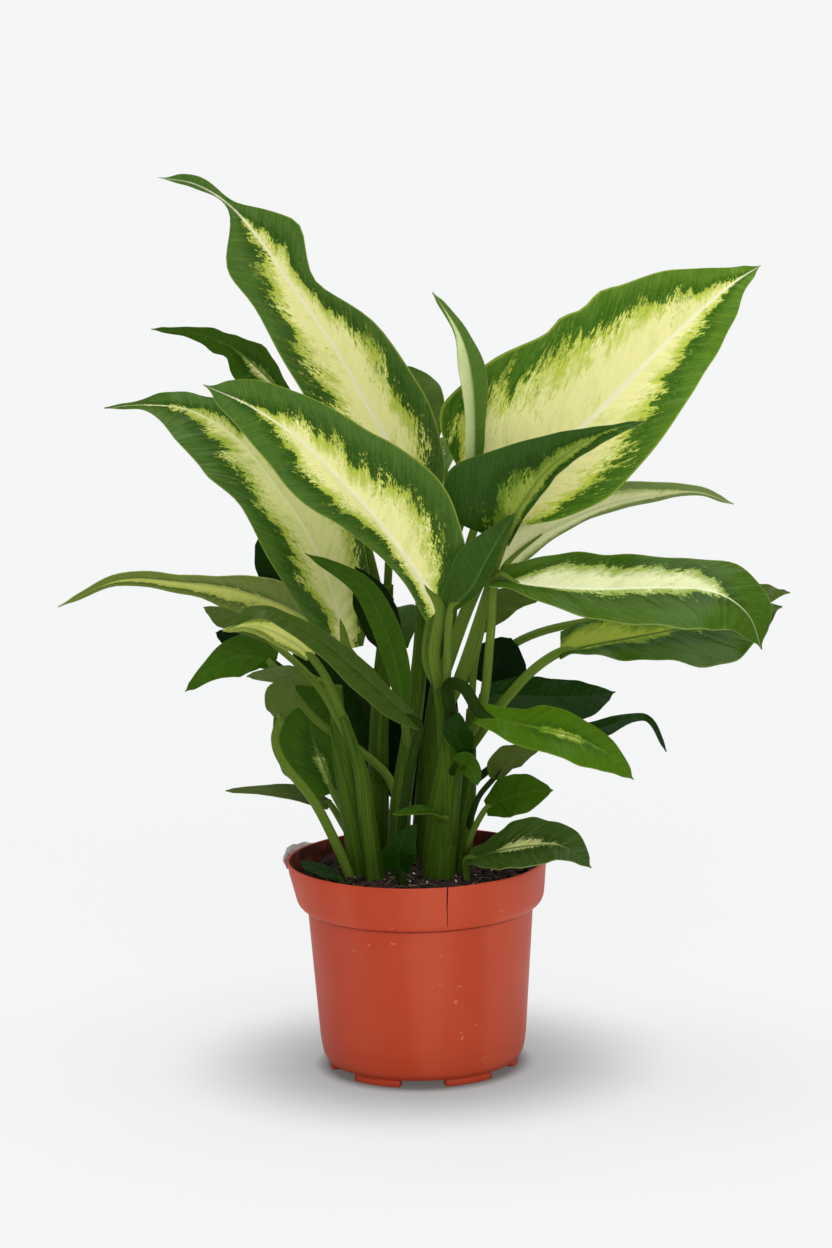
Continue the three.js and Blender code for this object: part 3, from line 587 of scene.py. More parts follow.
stalk_green = stalk_material("stalk_green", seen(104, 128, 50), seen(72, 96, 30), seen(84, 108, 38))
# a darker copy of the stalk, painted shade for stalks inside the foliage
shade_stalk = stalk_material("shade_stalk", seen(46, 66, 18), seen(28, 44, 10), seen(36, 44, 14))
stem_green = stalk_material("stem_green", seen(80, 108, 34), seen(42, 66, 14), seen(60, 78, 22), 0.6)
print("stalk and stem materials made")

# %% [markdown]
# ## The stems
# Each shoot has a fleshy stem that rises from the soil and thins as it goes. The rows repeat
# the model's own stems: a place and a radius in millimetres. A stem of this plant is wrapped
# in the open feet of its older stalks, so thin sheaths lie over it.

# %% Stem rows
SOIL_LEVEL = 92
ROOT_DEPTH = SOIL_LEVEL - 22
STEMS = {
    "main": [(9, -3, ROOT_DEPTH, 7.6), (9, -4, 93, 8), (12, -6, 125, 7.4), (15, -8, 150, 6.4),
             (14, -10, 172, 5), (10, -14, 192, 3.2)],
    "right": [(19, 8, ROOT_DEPTH, 4.2), (20, 8, 93, 4.4), (22, 9, 112, 4), (24, 11, 130, 3.6),
              (25, 12, 150, 3), (26, 14, 168, 2.2)],
    "left": [(-26, 0, ROOT_DEPTH, 5.2), (-28, 0, 93, 5.4), (-31, 0, 120, 5), (-35, 2, 148, 4.4),
             (-37, 6, 168, 3.6), (-37, 10, 182, 2.6)],
    "left_pale": [(-20, -11, ROOT_DEPTH, 4.2), (-21, -11, 93, 4.4), (-24, -11, 120, 4),
                  (-26, -12, 142, 3.6), (-30, -13, 158, 2.8), (-34, -14, 172, 2.2)],
    "middle": [(-10, 12, ROOT_DEPTH, 5.2), (-10, 12, 93, 5.4), (-8, 13, 125, 5), (-3, 14, 155, 4.4),
               (2, 16, 190, 3.6), (4, 18, 220, 2.6)],
    "rear_right": [(2, 30, ROOT_DEPTH, 5.8), (2, 30, 93, 6), (5, 31, 130, 5.6), (11, 33, 170, 4.8),
                   (17, 34, 210, 3.6), (18, 32, 236, 2.6)],
    "rear_left": [(-20, 30, ROOT_DEPTH, 5.2), (-20, 30, 93, 5.4), (-19, 31, 130, 5),
                  (-17, 33, 170, 4.2), (-14, 34, 200, 3.4), (-12, 34, 225, 2.6)],
}
SHEATHS = {
    # stem: (from, to, the way it faces and its half width in degrees); from and to as fractions
    "main": [(0.04, 0.7, -35, 80), (0.3, 0.95, 60, 70)],
    "right": [(0.05, 0.8, 30, 75)],
    "left": [(0.03, 0.75, -40, 80)],
    "left_pale": [(0.05, 0.85, 20, 75)],
    "middle": [(0.03, 0.6, -20, 80), (0.4, 0.95, 100, 70)],
    "rear_right": [(0.03, 0.6, 180, 80), (0.4, 0.95, 250, 70)],
    "rear_left": [(0.03, 0.6, 160, 80), (0.4, 0.95, 60, 70)],
}

# %% A stem with its sheaths
SHEATH_CELLS = 6, 14
SHEATH_THICKNESS = 0.45
SHEATH_GRAIN = 70
STEM_SEED = 3.7


def sheath(bm, rows, low, high, facing, width, seed):
    """A thin sheet wrapped on a stem from low to high along it, widest at its foot."""
    def shape(u, w, depth):
        t = low + (high - low) * u
        row = along(rows, t)
        upward, aside = square_to(direction(rows, t), Vector(FRONT))
        half = math.radians(width) * (1 - u ** 1.7)
        turn = math.radians(facing) + half * (1 - 2 * w) + 0.25 * math.sin(3.1 * u + seed)
        lift = 0.18 + 0.3 * u * u + 0.08 * abs(2 * w - 1) ** 6
        reach = row[3] + lift - depth
        return place(row) + (upward * math.cos(turn) + aside * math.sin(turn)) * reach

    def marks(u, w):
        return (u * SHEATH_GRAIN, w, 0.0), (u, abs(2 * w - 1), seed)

    thin_sheet(bm, *SHEATH_CELLS, shape, marks, SHEATH_THICKNESS)


for index, (name, rows) in enumerate(STEMS.items()):
    bm = new_bmesh()
    tube(bm, rows, sides=28, rings=40, seed=index * STEM_SEED, flutes=2, flute_depth=0.02)
    for step, wrapping in enumerate(SHEATHS[name]):
        sheath(bm, rows, *wrapping, seed=index * STEM_SEED + step)
    finish_piece(bm, f"stem_{name}_fleshy", [stem_green], "stem_" + name)
print("stems:", len(STEMS), "with", sum(map(len, SHEATHS.values())), "sheaths")

# %% [markdown]
# ## The leaves
# The table repeats the model's own leaves. A leaf has a finish, a stem and how high it leaves
# it, or none where it grows out of the soil. via is where its stalk passes, and stalk the
# stalk's radius at either end. face says where the upper side looks, fold how far each half
# rises in degrees, and wave how high its edge waves. A rib row holds a place and the two half
# widths beside it; the first is on the right of a walk from base to tip. pale is how far the
# pale centre reaches, as fractions of the two half widths, at even steps from base to tip. A
# number below nothing leaves only the green.

# %% Leaf table
PLAIN = [(-0.6, -0.6)] * 3
FLECKS = [(-0.5, -0.5), (-0.1, -0.1), (0.1, 0.1), (-0.1, -0.1), (-0.6, -0.6)]
CREAMY = [(0.5, 0.5), (0.6, 0.6), (0.5, 0.5), (0.3, 0.3), (-0.2, -0.2)]
Leaf = namedtuple("Leaf", "name finish stem at via stalk face fold wave rib pale", defaults=[PLAIN])
LEAVES = [
    Leaf("top_left", "cool", "middle", 216, [(4, 18, 240)], (3, 2.4), (-0.35, -1, 0.25), (16, 20), 1.4,
        [(6, 14, 267, 9, 7), (-2, 12, 283, 22, 17), (-17, 10, 310, 30, 22), (-33, 8, 341, 25, 23),
         (-51, 6, 369, 14, 21), (-66, 6, 392, 18, 20), (-80, 8, 409, 3, 2), (-96, 14, 419, 4, 2),
         (-114, 22, 422, 1, 1)],
        [(0.35, 0.5), (0.5, 0.6), (0.62, 0.62), (0.6, 0.6), (0.54, 0.56), (0.46, 0.48), (0.34, 0.18),
         (0.04, 0.0), (-0.05, -0.05), (-0.2, -0.2), (-0.3, -0.3)]),
    Leaf("far_left", "green", "rear_left", 207, [(-25, 38, 255), (-44, 46, 292)], (2.2, 1.6),
        (-0.2, -1, -0.2), (10, 10), 1.4,
        [(-57, 52, 311, 4, 5), (-69, 58, 324, 9, 12), (-84, 64, 336, 8, 8), (-102, 72, 342, 3, 3),
         (-123, 82, 343, 1, 1)],
        [(0.2, 0.4), (0.1, 0.3), (-0.1, 0.05), (-0.4, -0.4), (-0.6, -0.6)]),
    Leaf("front_centre", "cool", "main", 181, [(9, -23, 202)], (3, 2.6), (-0.1, -1, 0.5), (14, 18), 1.4,
        [(12, -28, 225, 10, 9), (0, -40, 247, 27, 8), (-15, -55, 271, 34, 13), (-31, -68, 292, 27, 19),
         (-49, -79, 313, 20, 20), (-70, -88, 330, 13, 12), (-91, -92, 341, 1, 1)],
        [(0.2, 0.6), (0.4, 0.6), (0.52, 0.42), (0.55, 0.38), (0.48, 0.5), (0.42, 0.5), (0.42, 0.5),
         (0.36, 0.28), (0.12, 0.02), (-0.1, -0.15), (-0.3, -0.3)]),
    Leaf("left", "dim", "rear_left", 178, [(-26, 28, 188)], (2.8, 2.2), (-0.1, -1, 0.7), (12, 14), 1.6,
        [(-32, 24, 196, 8, 8), (-37, 28, 218, 18, 17), (-47, 34, 246, 23, 23), (-64, 42, 272, 23, 22),
         (-82, 50, 294, 15, 23), (-104, 58, 307, 12, 17), (-126, 66, 309, 3, 3), (-146, 72, 307, 1, 1)],
        [(0.5, 0.4), (0.6, 0.5), (0.75, 0.55), (0.75, 0.5), (0.6, 0.55), (0.45, 0.48), (0.3, 0.36),
         (0.18, 0.22), (-0.02, 0.04), (-0.1, -0.15), (-0.3, -0.3)]),
    Leaf("top_right", "bright", "main", 186, [(27, -6, 225)], (3.2, 2.6),
        (0.25, -1, 0.35), (14, 12), 1.8,
        [(47, -8, 265, 9, 26), (59, -10, 281, 24, 58), (74, -10, 299, 32, 54), (96, -6, 320, 30, 42),
         (116, 0, 339, 25, 38), (135, 8, 355, 18, 24), (152, 18, 367, 7, 9), (166, 28, 374, 1, 1)],
        [(0.7, 0.85), (0.75, 0.88), (0.7, 0.8), (0.68, 0.64), (0.58, 0.68), (0.55, 0.67), (0.44, 0.6),
         (0.3, 0.44), (0.14, 0.26), (0.0, 0.02), (-0.2, -0.2)]),
    Leaf("young", "spear", "main", 180, [(5, -8, 197), (9, -10, 222), (20, -17, 254)], (2, 1.6),
        (0.5, -1, 0), (45, 45), 0.4,
        [(29, -23, 286, 3, 4), (30, -26, 307, 5, 14), (29, -26, 332, 7, 11), (24, -24, 352, 4, 3),
         (12, -20, 371, 1, 1)],
        [(-0.6, 1.3), (-0.6, 1.4), (-0.6, 1.3), (-0.6, 0.9), (-0.6, -0.1)]),
    Leaf("centre", "veined", "main", 173, [(24, -15, 200), (36, -28, 238)], (2.2, 1.8),
        (-0.1, -1, 0.5), (10, 20), 1.2,
        [(42, -33, 256, 3, 29), (49, -40, 273, 5, 36), (60, -49, 290, 6, 20), (73, -57, 302, 5, 10),
         (88, -62, 311, 4, 3), (106, -64, 316, 1, 1)],
        [(0.7, 0.2), (0.7, 0.32), (0.6, 0.3), (0.5, 0.25), (0.4, 0.2), (0.1, 0.0), (-0.3, -0.3)]),
    Leaf("centre_sheath", "sheath", "main", 165, [(15, -26, 200)], (2, 1.6),
        (-0.3, -1, 0.3), (25, 25), 0.6,
        [(17, -32, 225, 2, 2), (27, -41, 237, 5, 8), (33, -44, 249, 6, 9), (40, -45, 261, 3, 5),
         (47, -45, 272, 1, 1)]),
    Leaf("right_pale", "pale", "main", 172, [(26, 2, 195), (33, 12, 216)], (2.6, 2),
        (-0.1, 1, 0.45), (10, 10), 1,
        [(41, 20, 231, 4, 4), (51, 28, 243, 14, 9), (72, 36, 253, 12, 7), (94, 44, 260, 10, 5),
         (118, 50, 263, 7, 4), (137, 54, 263, 3, 2), (154, 58, 256, 1, 1)],
        [(0.9, 0.9), (0.8, 0.8), (0.7, 0.7), (0.5, 0.5), (0.1, 0.1), (-0.3, -0.3)]),
    Leaf("right", "olive", "main", 148, [(30, -14, 172), (35, -34, 212)], (2.4, 1.8),
        (0.1, -0.75, 1), (6, 10), 1.6,
        [(38, -42, 242, 7, 7), (57, -54, 240, 10, 20), (84, -66, 240, 19, 18), (111, -76, 242, 28, 18),
         (135, -84, 241, 25, 18), (150, -88, 231, 14, 14), (156, -90, 215, 1, 1)],
        [(-0.2, -0.2), (0.0, 0.25), (0.12, 0.58), (0.18, 0.66), (0.16, 0.64), (0.16, 0.58),
         (0.12, 0.54), (0.0, 0.12), (-0.25, -0.2), (-0.5, -0.5), (-0.7, -0.7)]),
    Leaf("right_under", "limey", "right", 150, [(38, 1, 170), (54, 0, 188)], (2.6, 2),
        (0.1, -0.7, 1), (6, 6), 2,
        [(68, 2, 197, 4, 12), (86, -4, 202, 8, 19), (109, -10, 207, 18, 16), (132, -14, 212, 28, 14),
         (153, -16, 217, 22, 11), (171, -16, 220, 2, 2)],
        [(0.2, 0.5), (0.35, 0.78), (0.3, 0.7), (0.28, 0.5), (0.2, 0.3), (0.16, 0.22), (0.14, 0.2),
         (0.08, 0.16), (0.0, 0.05), (-0.3, -0.3)]),
    Leaf("right_behind", "drab", "rear_right", 168, [(50, 36, 196), (85, 32, 206)], (2.2, 1.6),
        (0, -0.5, 1), (8, 8), 1.2,
        [(112, 26, 211, 5, 5), (137, 25, 216, 15, 11), (160, 21, 218, 13, 9), (177, 15, 221, 1, 1)]),
    Leaf("small_right", "drab", "right", 166, [(28, 16, 188)], (1.8, 1.4), (0, -1, 0.4), (6, 6), 0.8,
        [(32, 24, 204, 2, 3), (40, 26, 212, 5, 10), (49, 28, 217, 4, 7), (60, 30, 217, 1, 1)]),
    Leaf("front_right", "fresh", "main", 154,
        [(16, -20, 172), (15, -27, 188), (22, -34, 189)], (3, 2.6),
        (-0.1, -0.9, 0.8), (10, 12), 1.2,
        [(30, -38, 177, 6, 5), (45, -50, 175, 10, 8), (60, -62, 174, 13, 11), (76, -72, 171, 13, 9),
         (89, -80, 164, 8, 5), (98, -84, 155, 1, 1)],
        [(-0.5, -0.5), (-0.4, -0.4), (-0.2, -0.15), (0.06, 0.06), (0.16, 0.1), (0.02, -0.02),
         (-0.2, -0.2), (-0.5, -0.5), (-0.6, -0.6)]),
    Leaf("dark_right", "deep", "right", 154, [(30, 12, 166)], (2, 1.6), (0, -0.8, 0.8), (10, 10), 0.8,
        [(32, 14, 175, 6, 5), (46, 16, 174, 14, 9), (63, 20, 172, 16, 10), (80, 24, 171, 12, 8),
         (95, 28, 172, 1, 1)]),
    Leaf("round", "shade", "right", 146, [(29, 21, 164)], (1.8, 1.4), (0, -1, 0.2), (8, 8), 0.5,
        [(34, 27, 177, 6, 6), (37, 29, 183, 14, 12), (41, 31, 190, 14, 11), (46, 33, 198, 3, 3)]),
    Leaf("hooked", "deep", "right", 132, [(44, 20, 144)], (2, 1.5), (0, -0.6, 0.8), (10, 10), 0.5,
        [(64, 26, 152, 4, 3), (85, 30, 153, 6, 5), (102, 36, 157, 3, 3), (112, 40, 155, 2, 2),
         (120, 46, 138, 1, 1)]),
    Leaf("small_low", "drab", "right", 106, [(25, 5, 118), (29, 5, 128)], (1.6, 1.2),
        (-0.2, 0.9, 0.5), (8, 8), 0.6,
        [(36, 6, 136, 3, 3), (41, 4, 143, 9, 6), (49, 4, 148, 7, 6), (59, 6, 152, 1, 1)]),
    Leaf("small_bright", "green", "right", 98, [(23, -2, 106), (27, -4, 116)], (1.6, 1.3),
        (-0.1, -0.9, 0.6), (10, 10), 0.5,
        [(32, -4, 124, 4, 4), (41, -10, 130, 10, 10), (51, -16, 134, 10, 9), (63, -20, 136, 1, 1)]),
    Leaf("lowest", "dull", None, 0, [(22, -12, 76), (22, -12, 92)], (1.8, 1.5),
        (0, -0.8, 1), (8, 8), 0.8,
        [(22, -14, 102, 4, 5), (35, -28, 109, 11, 14), (51, -42, 115, 17, 16), (67, -54, 117, 9, 10),
         (79, -62, 109, 1, 1)],
        [(-0.5, -0.5), (-0.3, -0.3), (-0.02, 0.02), (0.12, 0.14), (0.1, 0.16), (0.02, 0.08),
         (-0.1, -0.05), (-0.5, -0.5), (-0.6, -0.6)]),
    Leaf("twisted_upper", "deep", "main", 146, [], (1.8, 1.4), (-0.2, -1, 0.2), (15, 15), 0.5,
        [(23, -18, 152, 3, 2), (20, -24, 160, 7, 4), (18, -29, 168, 8, 6), (20, -31, 176, 1, 1)]),
    Leaf("twisted_lower", "green", "main", 138, [], (1.6, 1.2), (0.2, -1, 0.3), (20, 20), 0.5,
        [(18, -19, 148, 3, 3), (22, -24, 150, 5, 6), (26, -28, 147, 4, 4), (28, -29, 141, 1, 1)]),
    Leaf("thin", "green", "main", 116, [], (1.6, 1.2), (0, -0.3, 1), (5, 5), 0.2,
        [(13, -17, 123, 2, 2), (6, -22, 128, 4, 4), (-2, -25, 129, 4, 4), (-12, -27, 128, 1, 1)]),
    Leaf("soil_dark", "deep", None, 0, [(-8, -25, 78), (-8, -25, 92)], (1.8, 1.5),
        (-0.3, -1, 0), (12, 12), 0.4,
        [(-8, -24, 98, 3, 4), (-10, -26, 106, 9, 8), (-8, -28, 115, 8, 4), (-1, -28, 123, 1, 1)]),
    Leaf("at_rim", "deep", None, 0, [(-36, -20, 80), (-36, -20, 91)], (1.4, 1.2),
        (0, -0.5, 1), (8, 8), 0.3,
        [(-38, -17, 95, 2, 2), (-45, -9, 96, 4, 4), (-51, 0, 97, 4, 4), (-56, 8, 98, 1, 1)]),
    Leaf("long_left", "mottled", "rear_left", 168, [(-30, 40, 190)], (2.4, 1.8),
        (0, -0.8, -0.4), (8, 8), 1,
        [(-42, 44, 200, 11, 6), (-61, 54, 211, 15, 11), (-85, 64, 218, 10, 12), (-112, 72, 221, 5, 7),
         (-142, 76, 222, 4, 3), (-172, 78, 209, 1, 1)],
        [(-0.2, 0.3), (-0.1, 0.4), (0.1, 0.5), (-0.1, 0.4), (-0.3, -0.3)]),
    Leaf("strap_left", "dusky", None, 0,
        [(-9, -16, 76), (-9, -16, 94), (-8, -17, 118), (-5, -20, 140), (-1, -25, 158)], (2.4, 2),
        (0.2, -0.8, 0.8), (14, 14), 0.8,
        [(1, -29, 171, 3, 4), (-10, -38, 183, 4, 10), (-25, -48, 200, 6, 14), (-42, -56, 217, 4, 9),
         (-58, -62, 228, 4, 6), (-71, -66, 234, 2, 5), (-87, -68, 226, 1, 1)],
        [(-0.4, -0.2), (-0.3, -0.1), (-0.5, -0.5)]),
    Leaf("yellow_left", "yellow", "left_pale", 170, [(-41, -16, 190)], (2, 1.8),
        (0, -0.9, -0.3), (8, 8), 0.5,
        [(-48, -20, 202, 3, 3), (-56, -26, 210, 7, 5), (-67, -30, 217, 8, 5), (-77, -34, 220, 5, 3),
         (-88, -36, 218, 1, 1)],
        [(0.8, 0.7), (0.7, 0.6), (0.4, 0.3), (-0.1, -0.2)]),
    Leaf("dark_left", "green", "middle", 116,
        [(-13, 12, 135), (-26, 11, 149), (-48, 11, 166)], (2.2, 1.8),
        (-0.1, -1, 0.3), (12, 12), 1,
        [(-67, 10, 192, 4, 3), (-73, 10, 196, 12, 6), (-85, 8, 197, 9, 10), (-97, 4, 192, 4, 6),
         (-108, -2, 183, 1, 1)]),
    Leaf("behind_left", "shade", "rear_left", 138, [(-46, 44, 168)], (1.8, 1.4),
        (0, -1, 0.3), (5, 5), 0.5,
        [(-73, 48, 190, 3, 3), (-80, 48, 195, 6, 5), (-88, 48, 198, 5, 5), (-95, 48, 201, 1, 1)]),
    Leaf("small_left", "drab", "left_pale", 156, [(-46, -8, 186)], (1.8, 1.4),
        (0, -0.8, -0.5), (5, 5), 0.5,
        [(-67, -2, 206, 2, 2), (-81, -6, 216, 5, 6), (-89, -8, 220, 5, 7), (-98, -8, 224, 1, 1)]),
    Leaf("edge_left", "drab", "left", 174, [], (1.8, 1.4), (0, -0.6, 0.9), (5, 5), 0.4,
        [(-44, 8, 184, 3, 3), (-54, 2, 188, 6, 6), (-65, 0, 190, 5, 6), (-79, -2, 190, 1, 1)]),
    Leaf("outer_left", "drab", None, 0,
        [(-33, -9, 76), (-33, -9, 93), (-47, -12, 128), (-62, -15, 150), (-66, -16, 162)], (2.6, 1.8),
        (0.3, 0.8, 0.3), (10, 10), 0.6,
        [(-63, -16, 172, 3, 2), (-64, -20, 178, 7, 7), (-62, -24, 186, 7, 10), (-57, -26, 193, 1, 1)]),
    Leaf("oval_left", "green", "left", 114, [], (2, 1.6), (-0.3, -1, 0.3), (10, 10), 0.6,
        [(-40, 11, 130, 5, 8), (-45, 18, 143, 12, 18), (-50, 21, 157, 12, 19), (-49, 21, 171, 11, 15),
         (-42, 19, 183, 2, 2)],
        [(0.0, 0.12), (0.05, 0.16), (-0.35, -0.2), (-0.7, -0.7), (-0.7, -0.7)]),
    Leaf("pointed_left", "drab", "left", 104, [(-36, 12, 114)], (1.8, 1.4), (0, -0.5, 1), (5, 5), 0.3,
        [(-42, 24, 121, 3, 4), (-58, 28, 125, 7, 4), (-74, 31, 127, 4, 3), (-92, 33, 127, 1, 1)]),
    Leaf("strap_centre", "green", "middle", 148, [(-5, 4, 160)], (2, 1.8),
        (-0.3, -1, 0.1), (18, 18), 0.6,
        [(-6, -4, 171, 3, 3), (-8, -6, 190, 7, 5), (-14, -8, 213, 8, 6), (-25, -10, 234, 5, 5),
         (-50, -10, 249, 1, 1)]),
    Leaf("shade_left", "deep", "rear_left", 152, [(-34, 52, 186)], (1.8, 1.4),
        (0, -1, 0.3), (5, 5), 0.6,
        [(-54, 64, 211, 4, 4), (-60, 67, 222, 10, 10), (-67, 69, 232, 10, 10), (-74, 71, 243, 2, 2)]),
    Leaf("shade_centre", "shade", "middle", 178, [], (1.8, 1.4), (0, 1, 0.3), (6, 6), 0.8,
        [(-10, 20, 194, 4, 4), (-15, 19, 207, 9, 9), (-20, 17, 222, 9, 9), (-27, 15, 238, 1, 1)]),
    Leaf("shade_top", "pale", "rear_right", 224, [(20, 43, 262)], (2, 1.6), (0, -1, 0.2), (5, 5), 0.8,
        [(10, 46, 292, 4, 4), (9, 48, 305, 8, 10), (5, 48, 316, 9, 9), (-2, 48, 328, 1, 1)]),
    Leaf("rear_high", "cool", "rear_right", 233, [(6, 32, 250)], (2.2, 1.8), (0, -0.2, 1), (14, 14), 1,
        [(0, 38, 262, 8, 8), (-2, 60, 278, 24, 24), (-4, 86, 284, 20, 20),
         (-6, 106, 272, 1, 1)], CREAMY),
    Leaf("rear_right", "bright", "rear_right", 212, [(26, 36, 240)], (2.2, 1.8),
        (0.1, -0.2, 1), (14, 14), 1,
        [(32, 40, 256, 8, 8), (45, 60, 270, 20, 20), (60, 84, 276, 17, 17),
         (76, 104, 269, 1, 1)], CREAMY),
    Leaf("rear_left", "cool", "rear_left", 200, [(-18, 44, 222)], (2.2, 1.8),
        (-0.1, -0.2, 1), (14, 14), 1,
        [(-24, 52, 238, 7, 7), (-38, 68, 248, 18, 18), (-54, 86, 250, 15, 15),
         (-72, 103, 241, 1, 1)], CREAMY),
    Leaf("rear_upper_left", "cool", "rear_left", 220, [(-10, 34, 262)], (2, 1.6),
        (-0.3, -0.5, 1), (16, 16), 0.8,
        [(-12, 36, 298, 4, 4), (-20, 50, 318, 12, 12), (-32, 70, 330, 10, 10),
         (-46, 92, 332, 1, 1)], CREAMY),
    Leaf("rear_middle", "green", "rear_left", 164, [(-12, 44, 180)], (2, 1.6),
        (0, -0.1, 1), (12, 12), 0.8,
        [(-9, 52, 190, 6, 6), (-12, 70, 200, 15, 15), (-16, 90, 202, 12, 12),
         (-20, 105, 191, 1, 1)], FLECKS),
    Leaf("rear_low_right", "shade", "rear_right", 99, [(7, 44, 104)], (2, 1.6),
        (0.1, -1, 0.3), (10, 10), 0.6,
        [(6, 48, 110, 4, 4), (5, 51, 121, 13, 17), (5, 55, 142, 16, 19), (7, 61, 165, 13, 16),
         (11, 70, 187, 1, 1)]),
    Leaf("rear_low_left", "deep", "rear_left", 104, [(-25, 44, 114)], (2, 1.6),
        (-0.1, -1, 0.3), (10, 10), 0.6,
        [(-26, 48, 124, 5, 5), (-28, 52, 142, 11, 15), (-33, 58, 163, 13, 16), (-46, 67, 186, 11, 14),
         (-60, 76, 204, 1, 1)]),
]
print("leaves in the table:", len(LEAVES))

# %% [markdown]
# ## Bending a blade
# A blade is two grids, the upper side and the underside, half a millimetre apart. Across the
# blade the grid is denser at the midrib, where the upper side has a narrow groove and the
# underside a keel. Between its side veins the blade is quilted a little.

# %% The rib's frame and the blade's edge
EDGE_BUMPS = {
    # leaf: (side, how far along, spread, millimetres out); side 1 is the right
    "top_right": [(-1, 0.455, 0.03, 2.5), (-1, 0.51, 0.02, -1), (-1, 0.57, 0.03, 1.8),
                  (-1, 0.72, 0.05, 1), (1, 0.62, 0.05, -1.2), (1, 0.8, 0.04, 1.2)],
    "top_left": [(1, 0.5, 0.045, -2), (1, 0.61, 0.035, 2.2), (-1, 0.4, 0.06, 1)],
    "left": [(1, 0.7, 0.04, -3), (1, 0.82, 0.03, 1), (-1, 0.55, 0.04, 1), (-1, 0.45, 0.04, -1)],
    "front_centre": [(1, 0.55, 0.05, -0.8), (-1, 0.45, 0.05, -0.8)],
    "centre_sheath": [(-1, 0.45, 0.3, 4)],
    "rear_low_right": [(-1, 0.25, 0.25, 3.5), (1, 0.1, 0.1, 2)],
    "far_left": [(-1, 0.5, 0.06, -1.6), (-1, 0.62, 0.05, 1.4), (1, 0.35, 0.06, 1.6),
                 (1, 0.55, 0.05, -1.4)],
}
EDGE_WANDER = 0.02
TIP_STARTS = 0.93
TIP_NARROWS = 0.82


def rib_frames(leaf, seed=0):
    """A function that gives the rib's place and frame and the two half widths at u. Each is
    kept, so that it is worked out once."""
    cache = {}

    def frame_at(u):
        key = round(u, 6)
        if key not in cache:
            row = along(leaf.rib, u)
            upward, aside = square_to(direction(leaf.rib, u), Vector(leaf.face).normalized())
            point = 1 - TIP_NARROWS * smooth_step(u, TIP_STARTS, 1)
            widths = []
            for side, half in ((1, row[3]), (-1, row[4])):
                ripple = math.sin(14.5 * u + 2.1 * seed * side)
                ripple += 0.7 * math.sin(31 * u + 1.3 * seed + side)
                wide = max(half, 0.5) * (1 + EDGE_WANDER * ripple * math.sin(math.pi * u))
                for bump_side, spot, spread, out in EDGE_BUMPS.get(leaf.name, []):
                    if bump_side == side:
                        wide += out * math.exp(-((u - spot) / spread) ** 2)
                widths.append(wide * point)
            cache[key] = place(row), upward, aside, *widths
        return cache[key]

    return frame_at

# %% Where a point of a blade goes
UPPER_DEPTH = 0.1
BLADE_THICKNESS = 0.5
WAVES = 2.5
LAG = 0.35
VEIN_GAP = 8.5
QUILT = 0.22
VEIN_SLANT = 0.8
VEIN_CURVE = 0.012
GROOVE = 0.45
KEEL = 1.1
SEED_STEP = 7.3
# how strongly the grid's cells are crowded at the blade's ends and at its midrib
END_CROWDING = 0.11
RIB_CROWDING = 1.35
# the cells along and across a blade that is wider than so many millimetres
BLADE_GRIDS = {30: (76, 28), 14: (48, 18), 0: (30, 12)}


def blade(bm, leaf, seed):
    frame_at = rib_frames(leaf, seed)
    length = run_length(leaf.rib)
    widest = max(row[3] + row[4] for row in leaf.rib)
    lengthwise, across = next(cells for width, cells in BLADE_GRIDS.items() if widest > width)
    small = min(1.0, widest / 30)

    def read(u, w):
        """How far along, how far across, the half width there and the rib's frame."""
        u -= END_CROWDING * math.sin(2 * math.pi * u)
        q = 1 - 2 * w
        v = math.copysign(abs(q) ** RIB_CROWDING, q)
        middle, upward, aside, right, left = frame_at(u)
        return u, v, right if v > 0 else left, middle, upward, aside

    def vein_place(u, v, width):
        """How far along the rib the side vein through this point leaves it."""
        t = abs(v) * width
        return u * length - VEIN_SLANT * t - VEIN_CURVE * t * t

    def bend(u, w, depth):
        u, v, width, middle, upward, aside = read(u, w)
        first = v > 0
        degrees = leaf.fold[0] if first else leaf.fold[1]
        rise = math.radians(degrees * math.sin(math.pi * min(1, 0.25 + 0.9 * u)))
        t = abs(v) * width
        phase = 2 * math.pi * (WAVES * u + (0 if first else LAG))
        wave = leaf.wave * math.sin(phase) * v * v * min(1, width / 8)
        ruffle = 0.35 * leaf.wave * math.sin(2.7 * phase + seed) * abs(v) ** 3 * small
        swell = math.cos(2 * math.pi * vein_place(u, v, width) / VEIN_GAP)
        quilt = QUILT * small * swell * smooth_step(t, 1, 7) * smooth_step(width - t, 0, 6)
        rib = math.exp(-(t / (0.6 + 0.9 * small)) ** 2) * (1 - 0.8 * u) * small
        groove = rib * (KEEL if depth else GROOVE)
        height = t * math.sin(rise) + wave + ruffle + quilt - (UPPER_DEPTH + depth) - groove
        return middle + aside * math.copysign(t * math.cos(rise), v) + upward * height

    def marks(u, w):
        u, v, width, *_ = read(u, w)
        edge = along(leaf.pale, u)[0 if v > 0 else 1]
        return (vein_place(u, v, width), v * width, edge - abs(v)), (u, abs(v), seed * SEED_STEP)

    return thin_sheet(bm, across, lengthwise, bend, marks, BLADE_THICKNESS)

# %% [markdown]
# ## Stalks of the leaves
# A stalk leaves its stem, passes the places that the table gives, and runs on under the
# blade as it thins into the keel.

# %% Leaf stalks, and all the leaves
UNDER_BLADE = (0.1, 0.6), (0.25, 0.25)
# leaves of these painted shade finishes, and the leaves named below, take a stalk of painted shade
PAINTED_SHADE_FINISHES = "deep", "shade"
PAINTED_SHADE_STALKS = "strap_left", "front_right", "twisted_lower", "small_low"
STALK_SEED = 2.3


def stem_point(name, height):
    """The middle of a stem at a height, found by halving."""
    low, high = 0.0, 1.0
    for _ in range(24):
        middle = (low + high) / 2
        if along(STEMS[name], middle)[2] < height:
            low = middle
        else:
            high = middle
    return along(STEMS[name], low)[:3]


